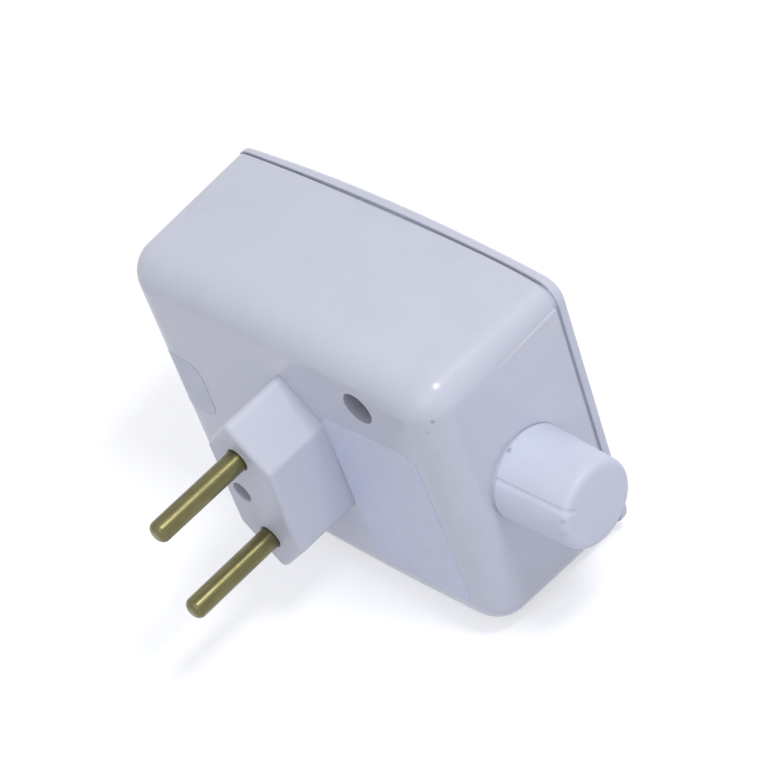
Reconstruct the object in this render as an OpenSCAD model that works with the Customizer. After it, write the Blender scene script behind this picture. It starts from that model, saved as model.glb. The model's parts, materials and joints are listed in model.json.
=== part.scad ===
// Plug-in lamp dimmer: a box that plugs into a wall outlet, with a dimmed outlet in its cover.
// Millimetres. X runs towards the knob, Y from the plug towards the cover, Z up.
// The origin lies between the two pins, on the front face of the plug.

/* [Box] */
// Length along the knob's shaft, at the parting line
box_w = 75; // [68:0.5:82]
// Height at the middle of the bowed long sides
box_h = 59; // [54:0.5:64]
// Depth of the rear housing, from its rear face to the parting line
box_d = 30; // [27:0.5:33]
// Rise of the bowed long sides
side_bow = 1.7; // [1:0.1:2.4]
// Radius of the upright corners at the parting line
corner_r = 3.7; // [3:0.1:4.5]
// Radius of the rounded rear edge
rear_r = 6.5; // [5.5:0.1:7]
// Draft of the side walls, in degrees
wall_draft = 0.9; // [0.3:0.1:1.2]
// Draft of the flat end behind the knob, in degrees
end_draft = 2; // [1.6:0.1:2.4]
// How far that end stands out past its corners, at the parting line
panel_proud = 0.35; // [0.2:0.05:0.5]
// Wall thickness
wall = 2; // [1.8:0.1:2.2]

/* [Cover] */
// Thickness of the cover's visible edge
cover_t = 1.4; // [1.2:0.1:2]
// Rise of the cover's front from its ends to its middle
cover_arch = 0.5; // [0.3:0.1:0.8]
// Radius of the cover's front edge
cover_edge_r = 0.8; // [0.5:0.1:1]
// Width of the shadow gap between cover and housing
shadow_gap = 0.4; // [0.2:0.1:0.6]
// How far the cover's edge stands out past the housing
cover_proud = 0.2; // [0:0.1:0.4]

/* [Plug] */
// Width of the six-sided plug
plug_w = 15.4; // [14.8:0.1:15.8]
// Length of the six-sided plug, from point to point
plug_l = 35.4; // [34.8:0.1:36]
// Length of the plug's straight sides
plug_flat = 19; // [18.4:0.1:19.6]
// How far the plug stands out of the housing
plug_out = 13.2; // [12:0.1:14]
// Diameter of the pins
pin_d = 4; // [4:0.1:4.8]
// Length of the bare pins
pin_l = 19; // [18:0.5:19]
// Distance between the pins
pin_pitch = 19; // [18.8:0.1:19.2]
// Distance of the earth hole from the line through the pins
earth_offset = 3; // [3:0.1:3.2]

/* [Outlet] */
// Depth of the recess in the cover
outlet_depth = 8.2; // [7.4:0.1:8.2]
// Room between the recess and the plug that goes into it
outlet_room = 0.5; // [0.4:0.1:0.7]

/* [Knob] */
// Diameter at the foot
knob_d = 16.8; // [16.6:0.1:18]
// Diameter at the front
knob_front_d = 15.5; // [15:0.1:16]
// Length
knob_l = 14.6; // [13.2:0.1:16]
// Gap between the knob's foot and the housing, on the shaft's axis
knob_gap = 0.5; // [0.5:0.1:0.8]
// Radius of the front edge
knob_edge_r = 1.5; // [0.8:0.1:1.6]
// Width of the pointer groove
pointer_w = 1; // [0.6:0.1:1.2]
// Turn of the pointer from the cover's side, in degrees
pointer_turn = 145; // [0:5:355]
// Diameter of the shaft
shaft_d = 6; // [6:0.05:6.35]

/* [Screws] */
// Distance of the two screws from the middle, along the box
screw_x = 19; // [18.6:0.1:19.6]
// Distance of the two screws from the middle, upwards
screw_z = 19; // [18.8:0.1:19.6]
// Diameter of the screw recesses
recess_d = 6.1; // [6:0.1:6.4]

/* [Fits] */
// Radial clearance of the shaft in its bushing
shaft_fit = 0.04; // [0.02:0.01:0.08]
// Radial clearance of pins, screws and leads in their holes
hold_fit = 0.02; // [0.01:0.01:0.04]
// Clearance of mouldings that slide together
slide_fit = 0.1; // [0.05:0.01:0.15]

/* [Hidden] */
$fn = 64;

shell_white = [0.85, 0.85, 0.9];
knob_white = [0.88, 0.88, 0.92];
brass = [0.68, 0.58, 0.3];
steel = [0.72, 0.73, 0.75];
aluminium = [0.8, 0.81, 0.83];
board_tan = [0.72, 0.56, 0.32];
dark_plastic = [0.12, 0.12, 0.13];
copper = [0.72, 0.42, 0.22];
resistor_tan = [0.8, 0.7, 0.5];

// Segments of a corner arc, a bowed side, a rounded edge and a corner of the plug
corner_n = 8;
bow_n = 14;
edge_n = 6;
hex_n = 4;
// Overshoot of cuts, and depth by which joined shapes run into each other
over = 1;
sink = 0.5;

// Box
half_w = box_w / 2;
half_h = box_h / 2;
rear_y = plug_out;
floor_y = rear_y + wall;
part_y = rear_y + box_d;
bow_r = (half_w ^ 2 + side_bow ^ 2) / (2 * side_bow);
corner_step = 1;
rear_corner_r = rear_r - corner_step;
least_corner_r = 0.4;
panel_step = 0.3;
panel_t = panel_proud + sink;
panel_run = 2.5;
panel_l = min(box_d - rear_r, panel_proud / (tan(end_draft) - tan(wall_draft)) + panel_run);

// Cover
cover_y = part_y + shadow_gap;
land_inset = 0.8;
lip_t = 1.2;
lip_l = 1.8;
lip_corner_r = 2.2;
lip_outer = wall + slide_fit;

// Screws: a recess, a seat and a boss of the cover behind it
screw_spots = [[screw_x, screw_z], [-screw_x, -screw_z]];
recess_r = recess_d / 2;
tube_wall = 1.35;
tube_r = recess_r + tube_wall;
boss_l = 8;
boss_r = 3.6;
tube_end_y = part_y - boss_l;
seat_t = 2.2;
seat_y = tube_end_y - seat_t;
screw_r = 1.45;
screw_l = 9.5;
screw_room = 0.5;
screw_head_r = 2.7;
screw_head_t = 1.8;
cross_half_l = 1.6;
cross_half_w = 0.35;
cross_depth = 0.9;

// Posts with an end melted over into a head
stake_r = 1.2;
stake_head_r = 1.8;
stake_head_t = 0.8;
stake_margin = 0.4;
ear_half_w = 3;
ear_corner_r = 1;

// Plug
pin_r = pin_d / 2;
half_pitch = pin_pitch / 2;
plug_corner_r = 1.2;
plug_edge_r = 1.1;
earth_r = 2;
earth_l = 11;
flange_t = 2;
flange_rim = 2;
flange_y = floor_y + flange_t;
pin_tip_r = 1.3;
stem_step = 0.3;
stem_r = pin_r - stem_step;
collar_rim = 1.2;
collar_r = pin_r + collar_rim;
collar_t = 1.2;
plug_stake_out = 1.9;
plug_stake_z = plug_l / 2 + plug_stake_out;
tag_w = 4;
tag_t = 0.8;
tag_x = 7;
tag_l = 3.8;
tag_margin = 0.4;
tag_top_y = flange_y + tag_l;

// Outlet
outlet_proud = 0.2;
outlet_front_y = cover_y + cover_t + cover_arch + outlet_proud;
outlet_floor_y = outlet_front_y - outlet_depth;
outlet_floor_t = 2.5;
outlet_wall = 1.6;
outlet_skin = outlet_room + outlet_wall;
outlet_back_y = outlet_floor_y - outlet_floor_t;
hole_room = 0.1;
outlet_hole_r = pin_r + hole_room;
cap_hole_r = outlet_hole_r + hole_room;
outlet_flange_t = 1.5;
outlet_stake_out = 3.6;
outlet_stake_z = plug_l / 2 + outlet_skin + outlet_stake_out;
contact_l = 8;
contact_t = 0.8;
contact_r = outlet_hole_r + contact_t;
chamber_t = 1.2;
cap_y = outlet_back_y - contact_l;
cap_t = 1.5;
cap_half_w = 5;
cap_corner_r = 2;
cap_stake_out = 6.2;
cap_stake_z = half_pitch + cap_stake_out;
contact_tag_x = 6.5;
contact_tag_t = 1;
contact_tag_w = 3.6;
slit_w = 0.8;
slit_foot = 2;

// Circuit board, between the plug and the knob's end
board_t = 1.6;
board_lift = 2.2;
board_y = floor_y + board_lift;
board_top = board_y + board_t;
board_x0 = 12;
board_end_room = 2.1;
board_x1 = half_w - wall - board_end_room;
board_side_room = 5.5;
board_z0 = board_side_room - half_h;
board_tube_room = 1.2;
board_z1 = screw_z - tube_r - board_tube_room;
part_room = 0.7;

// Knob and potentiometer, on one axis, the potentiometer just over the board
knob_y = rear_y + box_d / 2;
end_x = half_w - (part_y - knob_y) * tan(end_draft);
knob_x = end_x + knob_gap;
nut_spot_depth = 0.5;
nut_seat_x = end_x - nut_spot_depth;
pad_x = nut_seat_x - wall;
shaft_r = shaft_d / 2;
neck_wall = 0.5;
neck_r = shaft_r + neck_wall;
neck_l = 7;
neck_room = 0.2;
washer_r = 6.2;
washer_t = 0.5;
nut_af = 10;
nut_t = 2;
nut_room = 0.5;
nut_spot_r = washer_r + nut_room - hole_room;
plate_room = 1.2;
plate_r = knob_y - board_top - plate_room;
plate_t = 1.6;
pad_rim = 1;
pad_r = plate_r + pad_rim;
can_t = 0.5;
can_l = 7;
can_notch_w = 15;
can_notch_in = 2;
can_back_x = pad_x - plate_t - can_l;
notch_room = 0.1;
track_edge = 0.7;
track_r = plate_r - track_edge;
track_room = 0.6;
track_hole_r = shaft_r + track_room;
track_t = 1.2;
track_x = pad_x - plate_t - track_t;
track_tab_w = 14;
track_tab_in = 5;
lug_t = 0.6;
lug_w = 1;
lug_pitch = 5;
lug_edge = 0.7;
lug_r = track_r - lug_edge;
wiper_edge = 0.4;
wiper_r = lug_r - wiper_edge;
wiper_t = 1.5;
wiper_room = 0.3;
wiper_x = track_x - lug_t - wiper_room;
finger_room = 0.2;
finger_w = 1.6;
finger_l = 1.2;
finger_r = wiper_r - wiper_edge - finger_l;
shaft_tail = 0.5;
shaft_tail_x = wiper_x - wiper_t - shaft_tail;
knob_face_t = 2;
shaft_room = 0.4;
shaft_end_x = knob_x + knob_l - knob_face_t - shaft_room;
flat_depth = 1.5;
hub_r = 4.8;
knob_wall = 1.5;
knob_rib_t = 1.2;
knob_rib_count = 4;
knob_pocket_r = knob_front_d / 2 - knob_wall;
nut_room_r = washer_r + nut_room;
nut_room_l = pad_x + neck_l - knob_x + nut_room;
pointer_face_l = 2.4;

// Posts, holes and leads of the board
post_r = 2;
post_in = 2.5;
post_end_in = 3.9;
post_up = 7;
post_down = 5.4;
board_posts = [
  [board_x0 + post_in, board_z0 + post_in],
  [board_x1 - post_end_in, board_z0 + post_up],
  [board_x0 + post_in, board_z1 - post_down]
];
lead_r = 0.35;
lead_hole_r = 0.5;
lead_tail = 1.2;
pot_lead_hole_r = 0.7;
pot_leads = [for (k = [-1:1]) [track_x - lug_t / 2, lug_pitch * k]];

// Heat sink along the board's edge, with the triac on it
sink_t = 1.5;
sink_in = 1.4;
sink_z = board_z0 + sink_in;
sink_margin = 1;
sink_end_room = 2.4;
sink_x0 = board_x0 + sink_margin;
sink_x1 = board_x1 - sink_end_room;
sink_cover_room = 2.7;
sink_top_y = part_y - sink_cover_room;
sink_fold = 8;
triac_x = (sink_x0 + sink_x1) / 2;
triac_w = 10.2;
triac_lift = 1.2;
triac_y = board_top + triac_lift;
triac_h = 9;
triac_body_t = 4.3;
triac_pitch = 2.54;
triac_lead_in = 2.6;
triac_leads = [for (k = [-1:1]) [triac_x + triac_pitch * k, sink_z + triac_lead_in]];
tab_t = 1.3;
tab_h = 15.4;
tab_hole_up = 12.4;
tab_hole_y = triac_y + tab_hole_up;
tab_screw_r = 1.5;
tab_head_r = 2.7;
tab_head_t = 1.4;
tab_slot_w = 0.8;
tab_slot_depth = 0.6;
tab_screw_end = 0.6;
tab_nut_af = 5.5;
tab_nut_t = 2.4;

// Choke beside the triac, then the boxed capacitors
choke_r = 4;
choke_core_r = 2.2;
choke_h = 10;
choke_rim = 1.4;
choke_edge = 0.2;
choke_lead_x = 3;
winding_r = 3.5;
choke_spot = [board_x0 + choke_r + choke_edge, sink_z + triac_body_t + choke_r + part_room];
choke_leads = [for (s = [-1, 1]) choke_spot + [choke_lead_x * s, 0]];
case_corner_r = 0.5;
noise_cap_size = [5.6, 11, 10.4];
noise_cap_pitch = 7.5;
noise_cap_spot = [
  board_x0 + part_room + noise_cap_size.x / 2,
  choke_spot.y + choke_r + part_room + noise_cap_size.z / 2
];
noise_cap_leads = [for (s = [-1, 1]) noise_cap_spot + [0, s * noise_cap_pitch / 2]];

// Parts that lie on the board
resistor_r = 1.2;
resistor_l = 6.3;
resistor_span = 7.6;
series_in = 2;
series_end_room = 3;
series_z = board_z1 - series_in;
series_x = board_x1 - series_end_room;
series_resistor_leads = [[series_x - resistor_span, series_z], [series_x, series_z]];
timing_up = 9.6;
timing_end_room = 1.4;
timing_z = sink_z + timing_up;
timing_x = board_x1 - timing_end_room;
timing_resistor_leads = [[timing_x - resistor_span, timing_z], [timing_x, timing_z]];
timing_cap_size = [3.2, 7, 7.2];
timing_cap_pitch = 5;
timing_cap_room = 2.3;
timing_cap_spot = [
  can_back_x - timing_cap_room - timing_cap_size.x / 2,
  series_z - resistor_r - part_room - timing_cap_size.z / 2
];
timing_cap_leads = [for (s = [-1, 1]) timing_cap_spot + [0, s * timing_cap_pitch / 2]];
diac_r = 0.95;
diac_l = 3.9;
diac_span = 6;
diac_down = 4.5;
diac_x = (noise_cap_spot.x + noise_cap_size.x / 2 + can_back_x) / 2;
diac_z = noise_cap_spot.y - diac_down;
diac_leads = [[diac_x, diac_z], [diac_x, diac_z + diac_span]];

// Routes of the leads: out of a tag, over, and down to the board or to the other tag
wire_r = 1;
wire_out = 2;
wire_rise = 4;
wire_bend = 1.2;
wire_reach = 3;
wire_sides = 8;
tag_wire_y = tag_top_y - wire_r - tag_margin;
load_wire_y = cap_y + contact_tag_t / 2;
live_pad = [board_x0 + wire_out, series_z];
load_pad = [board_x0 + wire_out, series_z - 1.9 * wire_out];
live_route = [
  [tag_x, tag_wire_y, half_pitch],
  [tag_x + wire_out, tag_wire_y, half_pitch],
  [tag_x + 2 * wire_out, tag_wire_y + 0.75 * wire_rise, (half_pitch + live_pad.y) / 2],
  [live_pad.x - 0.6 * wire_out, tag_wire_y + wire_rise, live_pad.y],
  [live_pad.x, tag_wire_y + 0.75 * wire_rise, live_pad.y],
  [live_pad.x, board_top, live_pad.y]
];
load_route = [
  [contact_tag_x, load_wire_y, half_pitch],
  [contact_tag_x + wire_out, load_wire_y, half_pitch],
  [load_pad.x - wire_out, load_wire_y, (half_pitch + load_pad.y) / 2],
  [load_pad.x, load_wire_y - wire_out, load_pad.y],
  [load_pad.x, board_top, load_pad.y]
];
neutral_x = tag_x + wire_reach;
neutral_route = [
  [tag_x, tag_wire_y, -half_pitch],
  [neutral_x - wire_bend, tag_wire_y, -half_pitch],
  [neutral_x, tag_wire_y + wire_bend, -half_pitch],
  [neutral_x, load_wire_y - wire_bend, -half_pitch],
  [neutral_x - wire_bend, load_wire_y, -half_pitch],
  [contact_tag_x, load_wire_y, -half_pitch]
];

// Points along an arc about c, from angle a0 to a1 in n steps
function arc(c, r, a0, a1, n) =
  [for (k = [0:n]) let (a = a0 + (a1 - a0) * k / n) c + r * [cos(a), sin(a)]];

// Points of a convex outline, from the centres of its round corners, counter-clockwise
function rounded(core, r) =
  let (n = len(core))
  [for (j = [0:n - 1])
    let (before = core[j] - core[(j + n - 1) % n])
    let (after = core[(j + 1) % n] - core[j])
    let (a0 = atan2(before.y, before.x) - 90)
    let (turn = (atan2(after.y, after.x) - 90 - a0 + 720) % 360)
    each arc(core[j], r, a0, a0 + turn, hex_n)];

// Outline of the box, drawn in by i, with corner radius r: two bowed sides and two straight ends
function box_outline(i, r) =
  let (hw = half_w - i)
  let (big_r = bow_r - i)
  let (bow_c = half_h - bow_r)
  let (cz = bow_c + sqrt((big_r - r) ^ 2 - (hw - r) ^ 2))
  let (tilt = asin((hw - r) / (big_r - r)))
  let (bow = arc([0, bow_c], big_r, 90 - tilt, 90 + tilt, bow_n))
  let (upper = concat(
    arc([hw - r, cz], r, 0, 90 - tilt, corner_n),
    [for (k = [1:bow_n - 1]) bow[k]],
    arc([r - hw, cz], r, 90 + tilt, 180, corner_n)))
  let (m = len(upper))
  concat(upper, [for (k = [m - 1:-1:0]) [upper[k].x, -upper[k].y]]);

// Outline of the plug, grown by g: straight sides, slanted shoulders and a point at each end
function plug_outline(g) =
  let (a = plug_w / 2)
  let (tip = plug_l / 2)
  let (f = plug_flat / 2)
  let (slant = norm([a, tip - f]))
  let (nx = (tip - f) / slant)
  let (nz = a / slant)
  let (x = a - plug_corner_r)
  let (zs = f - plug_corner_r * (1 - nx) / nz)
  let (zt = tip - plug_corner_r / nz)
  rounded([[x, -zs], [x, zs], [0, zt], [-x, zs], [-x, -zs], [0, -zt]], plug_corner_r + g);

function bar_outline(half_x, half_z, r) =
  rounded([[half_x - r, r - half_z], [half_x - r, half_z - r], [r - half_x, half_z - r],
           [r - half_x, r - half_z]], r);

// A flat outline set at depth y
function ring(outline, y) = [for (p = outline) [p.x, y, p.y]];

// How far the drafted wall is drawn in at depth y
function draft_inset(y) = (part_y - y) * tan(wall_draft);

// Sections of the housing's outside, or of its hollow when skin is the wall
function housing_rings(skin, top_y) =
  let (r = rear_r - skin)
  let (start = draft_inset(rear_y + rear_r) + skin)
  concat(
    [for (k = [0:edge_n])
      let (t = 90 - 90 * k / edge_n)
      let (c = max(least_corner_r, (rear_corner_r - skin) * cos(t)))
      ring(box_outline(start + r * (1 - cos(t)), c), rear_y + skin + r * (1 - sin(t)))],
    [ring(box_outline(draft_inset(top_y) + skin, max(least_corner_r, corner_r - skin)), top_y)]);

// The same sections with the knob's end drawn in to where its corners are
function drawn_end(rings) =
  [for (r = rings) [for (p = r) [p.x > 0 ? p.x * (1 - panel_proud / half_w) : p.x, p.y, p.z]]];

// Height at which the corners begin at depth y
function corner_z(y) =
  let (i = draft_inset(y))
  let (r = corner_r + (rear_corner_r - corner_r) * (part_y - y) / (box_d - rear_r))
  half_h - bow_r + sqrt((bow_r - i - r) ^ 2 - (half_w - i - r) ^ 2);

// Sections of the flat panel at the knob's end, from where it leaves the wall to the parting line
function panel_rings() =
  [for (y = [part_y - panel_l, part_y])
    let (x = half_w - (part_y - y) * tan(end_draft))
    let (z = corner_z(y) - panel_step)
    ring([[x, -z], [x, z], [x - panel_t, z], [x - panel_t, -z]], y)];

// Depth of the cover's front at x
function cover_front(x) = cover_y + cover_t + cover_arch * (1 - (x / half_w) ^ 2);

// Sections of the cover's plate: a straight edge, then the rounded front edge
function cover_rings() =
  concat(
    [ring(box_outline(-cover_proud, corner_r + cover_proud), cover_y)],
    [for (k = [0:edge_n])
      let (t = 90 * k / edge_n)
      let (drawn = cover_edge_r * (1 - cos(t)))
      [for (p = box_outline(drawn - cover_proud, corner_r + cover_proud - drawn))
        [p.x, cover_front(p.x) - cover_edge_r * (1 - sin(t)), p.y]]]);

// Sections of the plug: a rounded front edge, then a straight stem
function plug_rings(end_y) =
  concat(
    [for (k = [0:edge_n])
      let (t = 90 - 90 * k / edge_n)
      ring(plug_outline(-plug_edge_r * (1 - cos(t))), plug_edge_r * (1 - sin(t)))],
    [ring(plug_outline(0), end_y)]);

function unit(v) = v / norm(v);

// Sections of a round lead along its route
function wire_rings(route) =
  let (m = len(route))
  [for (k = [0:m - 1])
    let (along = unit(route[min(k + 1, m - 1)] - route[max(k - 1, 0)]))
    let (u = unit(cross([0.2, 0.3, 1], along)))
    let (v = cross(along, u))
    [for (j = [0:wire_sides - 1])
      let (a = 360 * j / wire_sides)
      route[k] + wire_r * (cos(a) * u - sin(a) * v)]];

// Faces between the sections of a loft, n points each, and over its ends
function side_faces(n, m) =
  [for (k = [0:m - 2], j = [0:n - 1])
    let (a = k * n + j)
    let (b = k * n + (j + 1) % n)
    each [[a, b, b + n], [a, b + n, a + n]]];
function first_face(n) = [[for (j = [n - 1:-1:0]) j]];
function last_face(n, m) = [[for (j = [0:n - 1]) (m - 1) * n + j]];
function last_face_strips(n, m) =
  let (e = (m - 1) * n)
  [for (j = [0:n / 2 - 2]) [e + j, e + j + 1, e + n - 2 - j, e + n - 1 - j]];

module loft(rings, arched = false) {
  n = len(rings[0]);
  m = len(rings);
  ends = concat(first_face(n), arched ? last_face_strips(n, m) : last_face(n, m));
  polyhedron([for (r = rings) each r], concat(side_faces(n, m), ends));
}

// A flat shape in X and Z, drawn out from y0 to y1
module along_y(y0, y1) {
  translate([0, y1, 0]) rotate([90, 0, 0]) linear_extrude(y1 - y0) children();
}

// A round bar along Y through the point p in X and Z
module rod_y(p, r, y0, y1) {
  translate([p.x, y0, p.y]) rotate([-90, 0, 0]) cylinder(h = y1 - y0, r = r);
}

// A round bar along the knob's axis
module rod_x(r, x0, x1) {
  translate([x0, knob_y, 0]) rotate([0, 90, 0]) cylinder(h = x1 - x0, r = r);
}

// A box from corner a to corner b
module block(a, b) {
  translate(a) cube(b - a);
}

// A lead through the board up to height y
module lead(p, y) {
  rod_y(p, lead_r, board_y - lead_tail, y);
}

// The space past the flat end behind the knob
module past_knob_end() {
  translate([half_w, part_y, 0]) rotate([0, 0, -end_draft])
    block([0, -2 * box_d, -box_h], [box_d, box_d, box_h]);
}

// A post with its end melted over into a head, from y0, holding a plate whose far face is at y1
module stake(p, y0, y1, away) {
  rod_y(p, stake_r, min(y0, y1), max(y0, y1));
  rod_y(p, stake_head_r, min(y1, y1 + away * stake_head_t), max(y1, y1 + away * stake_head_t));
}

module rear_housing() {
  color(shell_white)
  difference() {
    union() {
      difference() {
        union() {
          difference() {
            loft(drawn_end(housing_rings(0, part_y)));
            past_knob_end();
          }
          loft(panel_rings());
        }
        loft(housing_rings(wall, part_y + over));
      }
      for (p = screw_spots) rod_y(p, tube_r, floor_y - sink, tube_end_y);
      for (p = board_posts) rod_y(p, post_r, floor_y - sink, board_y);
      for (s = [-1, 1]) stake([0, s * plug_stake_z], floor_y - sink, flange_y, 1);
      rod_x(pad_r, pad_x, nut_seat_x - sink);
    }
    for (p = screw_spots) {
      rod_y(p, recess_r, rear_y - over, seat_y);
      rod_y(p, screw_r + slide_fit, seat_y - over, tube_end_y + over);
    }
    along_y(rear_y - over, floor_y + over) polygon(plug_outline(slide_fit));
    rod_x(neck_r + neck_room, pad_x - over, end_x + over);
    rod_x(nut_spot_r, nut_seat_x, end_x + over);
  }
}

module front_cover() {
  color(shell_white)
  difference() {
    union() {
      loft(cover_rings(), arched = true);
      along_y(part_y, cover_y + sink) polygon(box_outline(land_inset, corner_r - land_inset));
      along_y(part_y - lip_l, part_y + sink) difference() {
        polygon(box_outline(lip_outer, lip_corner_r));
        polygon(box_outline(lip_outer + lip_t, least_corner_r));
      }
      for (p = screw_spots) rod_y(p, boss_r, tube_end_y, part_y + sink);
      for (s = [-1, 1]) stake([0, s * outlet_stake_z], part_y + sink, part_y - outlet_flange_t, -1);
    }
    for (p = screw_spots) rod_y(p, screw_r + hold_fit, tube_end_y - over, seat_y + screw_l + screw_room);
    along_y(part_y - over, outlet_front_y + over) polygon(plug_outline(outlet_skin + slide_fit));
  }
}

module cover_screws() {
  color(steel)
  for (p = screw_spots) difference() {
    union() {
      rod_y(p, screw_head_r, seat_y - screw_head_t, seat_y);
      rod_y(p, screw_r, seat_y - sink, seat_y + screw_l);
    }
    for (turn = [0, 90]) translate([p.x, seat_y - screw_head_t, p.y]) rotate([0, turn, 0])
      block([-cross_half_l, -over, -cross_half_w], [cross_half_l, cross_depth, cross_half_w]);
  }
}

module plug_block() {
  color(knob_white)
  difference() {
    union() {
      loft(plug_rings(floor_y + sink));
      along_y(floor_y, flange_y) polygon(plug_outline(flange_rim));
      along_y(floor_y, flange_y)
        polygon(bar_outline(ear_half_w, plug_stake_z + stake_head_r + stake_margin, ear_corner_r));
    }
    for (s = [-1, 1]) {
      rod_y([0, s * half_pitch], stem_r + hold_fit, -over, flange_y + over);
      rod_y([0, s * half_pitch], collar_r + hold_fit, flange_y - collar_t, flange_y + over);
      rod_y([0, s * plug_stake_z], stake_r + slide_fit, floor_y - over, flange_y + over);
    }
    rod_y([-earth_offset, 0], earth_r, -over, earth_l);
  }
}

// A round pin with a rounded tip, a thinner stem and a collar in the plug, and a bent tag for its lead
module plug_pin(z) {
  color(brass)
  translate([0, 0, z]) {
    rotate([-90, 0, 0]) rotate_extrude() {
      translate([0, pin_tip_r - pin_l]) square([pin_r, pin_l - pin_tip_r]);
      translate([0, -sink]) square([stem_r, sink + flange_y + tag_t / 2]);
      intersection() {
        translate([pin_r - pin_tip_r, pin_tip_r - pin_l]) circle(pin_tip_r);
        translate([0, -pin_l]) square([pin_r, pin_l]);
      }
      translate([0, flange_y - collar_t]) square([collar_r, collar_t]);
    }
    block([-tag_w / 2, flange_y, -tag_w / 2], [tag_x, flange_y + tag_t, tag_w / 2]);
    block([tag_x - tag_t, flange_y, -tag_w / 2], [tag_x, tag_top_y, tag_w / 2]);
  }
}

module plug_pin_live() {
  plug_pin(half_pitch);
}

module plug_pin_neutral() {
  plug_pin(-half_pitch);
}

module outlet_block() {
  color(knob_white)
  difference() {
    union() {
      along_y(outlet_back_y, outlet_front_y) polygon(plug_outline(outlet_skin));
      along_y(part_y - outlet_flange_t, part_y) polygon(plug_outline(outlet_skin + flange_rim));
      along_y(part_y - outlet_flange_t, part_y)
        polygon(bar_outline(ear_half_w, outlet_stake_z + stake_head_r + stake_margin, ear_corner_r));
      for (s = [-1, 1]) {
        rod_y([0, s * half_pitch], contact_r + slide_fit + chamber_t, cap_y, outlet_back_y + sink);
        stake([0, s * cap_stake_z], outlet_back_y + sink, cap_y - cap_t, -1);
      }
    }
    along_y(outlet_floor_y, outlet_front_y + over) polygon(plug_outline(outlet_room));
    for (s = [-1, 1]) {
      rod_y([0, s * half_pitch], outlet_hole_r, cap_y - over, outlet_floor_y + over);
      rod_y([0, s * half_pitch], contact_r + slide_fit, cap_y - over, outlet_back_y);
      translate([0, 0, s * half_pitch])
        block([0, cap_y - over, -tag_w / 2], [contact_tag_x, cap_y + 2 * contact_tag_t, tag_w / 2]);
      rod_y([0, s * outlet_stake_z], stake_r + slide_fit, part_y - outlet_flange_t - over, part_y + over);
    }
    rod_y([-earth_offset, 0], outlet_hole_r, outlet_back_y - over, outlet_floor_y + over);
  }
}

module outlet_cap() {
  color(shell_white)
  difference() {
    along_y(cap_y - cap_t, cap_y)
      polygon(bar_outline(cap_half_w, cap_stake_z + stake_head_r + stake_margin, cap_corner_r));
    for (s = [-1, 1]) {
      rod_y([0, s * half_pitch], cap_hole_r, cap_y - cap_t - over, cap_y + over);
      rod_y([0, s * cap_stake_z], stake_r + slide_fit, cap_y - cap_t - over, cap_y + over);
    }
    rod_y([-earth_offset, 0], cap_hole_r, cap_y - cap_t - over, cap_y + over);
  }
}

// A split sleeve that grips a pin, with a tag for its lead
module outlet_contact(z) {
  color(brass)
  translate([0, 0, z]) difference() {
    union() {
      rod_y([0, 0], contact_r, cap_y, outlet_back_y);
      block([0, cap_y, -contact_tag_w / 2], [contact_tag_x, cap_y + contact_tag_t, contact_tag_w / 2]);
    }
    rod_y([0, 0], outlet_hole_r, cap_y - over, outlet_back_y + over);
    block([-contact_r - over, cap_y + slit_foot, -slit_w / 2], [0, outlet_back_y + over, slit_w / 2]);
  }
}

module outlet_contact_live() {
  outlet_contact(half_pitch);
}

module outlet_contact_neutral() {
  outlet_contact(-half_pitch);
}

module circuit_board() {
  small_leads = concat(triac_leads, noise_cap_leads, timing_cap_leads, timing_resistor_leads,
    series_resistor_leads, diac_leads, choke_leads);
  color(board_tan)
  difference() {
    block([board_x0, board_y, board_z0], [board_x1, board_top, board_z1]);
    for (p = small_leads) rod_y(p, lead_hole_r, board_y - over, board_top + over);
    for (p = pot_leads) rod_y(p, pot_lead_hole_r, board_y - over, board_top + over);
  }
}

module triac() {
  half = triac_w / 2;
  color(dark_plastic)
  difference() {
    union() {
      block([triac_x - half, triac_y, sink_z], [triac_x + half, triac_y + triac_h, sink_z + triac_body_t]);
      block([triac_x - half, triac_y, sink_z], [triac_x + half, triac_y + tab_h, sink_z + tab_t]);
      for (p = triac_leads) lead(p, triac_y + sink);
    }
    translate([triac_x, tab_hole_y, sink_z - over])
      cylinder(h = tab_t + 2 * over, r = tab_screw_r + slide_fit);
  }
}

// A folded plate that stands on the board against the triac's tab
module heat_sink() {
  color(aluminium)
  difference() {
    union() {
      block([sink_x0, board_top, sink_z - sink_t], [sink_x1, sink_top_y, sink_z]);
      block([sink_x0, sink_top_y - sink_t, sink_z - sink_t], [sink_x1, sink_top_y, sink_z + sink_fold]);
    }
    translate([triac_x, tab_hole_y, sink_z - sink_t - over])
      cylinder(h = sink_t + 2 * over, r = tab_screw_r + slide_fit);
  }
}

module heat_sink_screw() {
  color(steel)
  translate([triac_x, tab_hole_y, sink_z - sink_t]) difference() {
    union() {
      translate([0, 0, -tab_head_t]) cylinder(h = tab_head_t, r = tab_head_r);
      translate([0, 0, -sink])
        cylinder(h = sink + sink_t + tab_t + tab_nut_t + tab_screw_end, r = tab_screw_r);
    }
    block([-tab_head_r - over, -tab_slot_w / 2, -tab_head_t - over],
          [tab_head_r + over, tab_slot_w / 2, tab_slot_depth - tab_head_t]);
  }
}

module heat_sink_nut() {
  color(steel)
  translate([triac_x, tab_hole_y, sink_z + tab_t]) difference() {
    cylinder(h = tab_nut_t, r = tab_nut_af / sqrt(3), $fn = 6);
    translate([0, 0, -over]) cylinder(h = tab_nut_t + 2 * over, r = tab_screw_r + hold_fit);
  }
}

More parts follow.
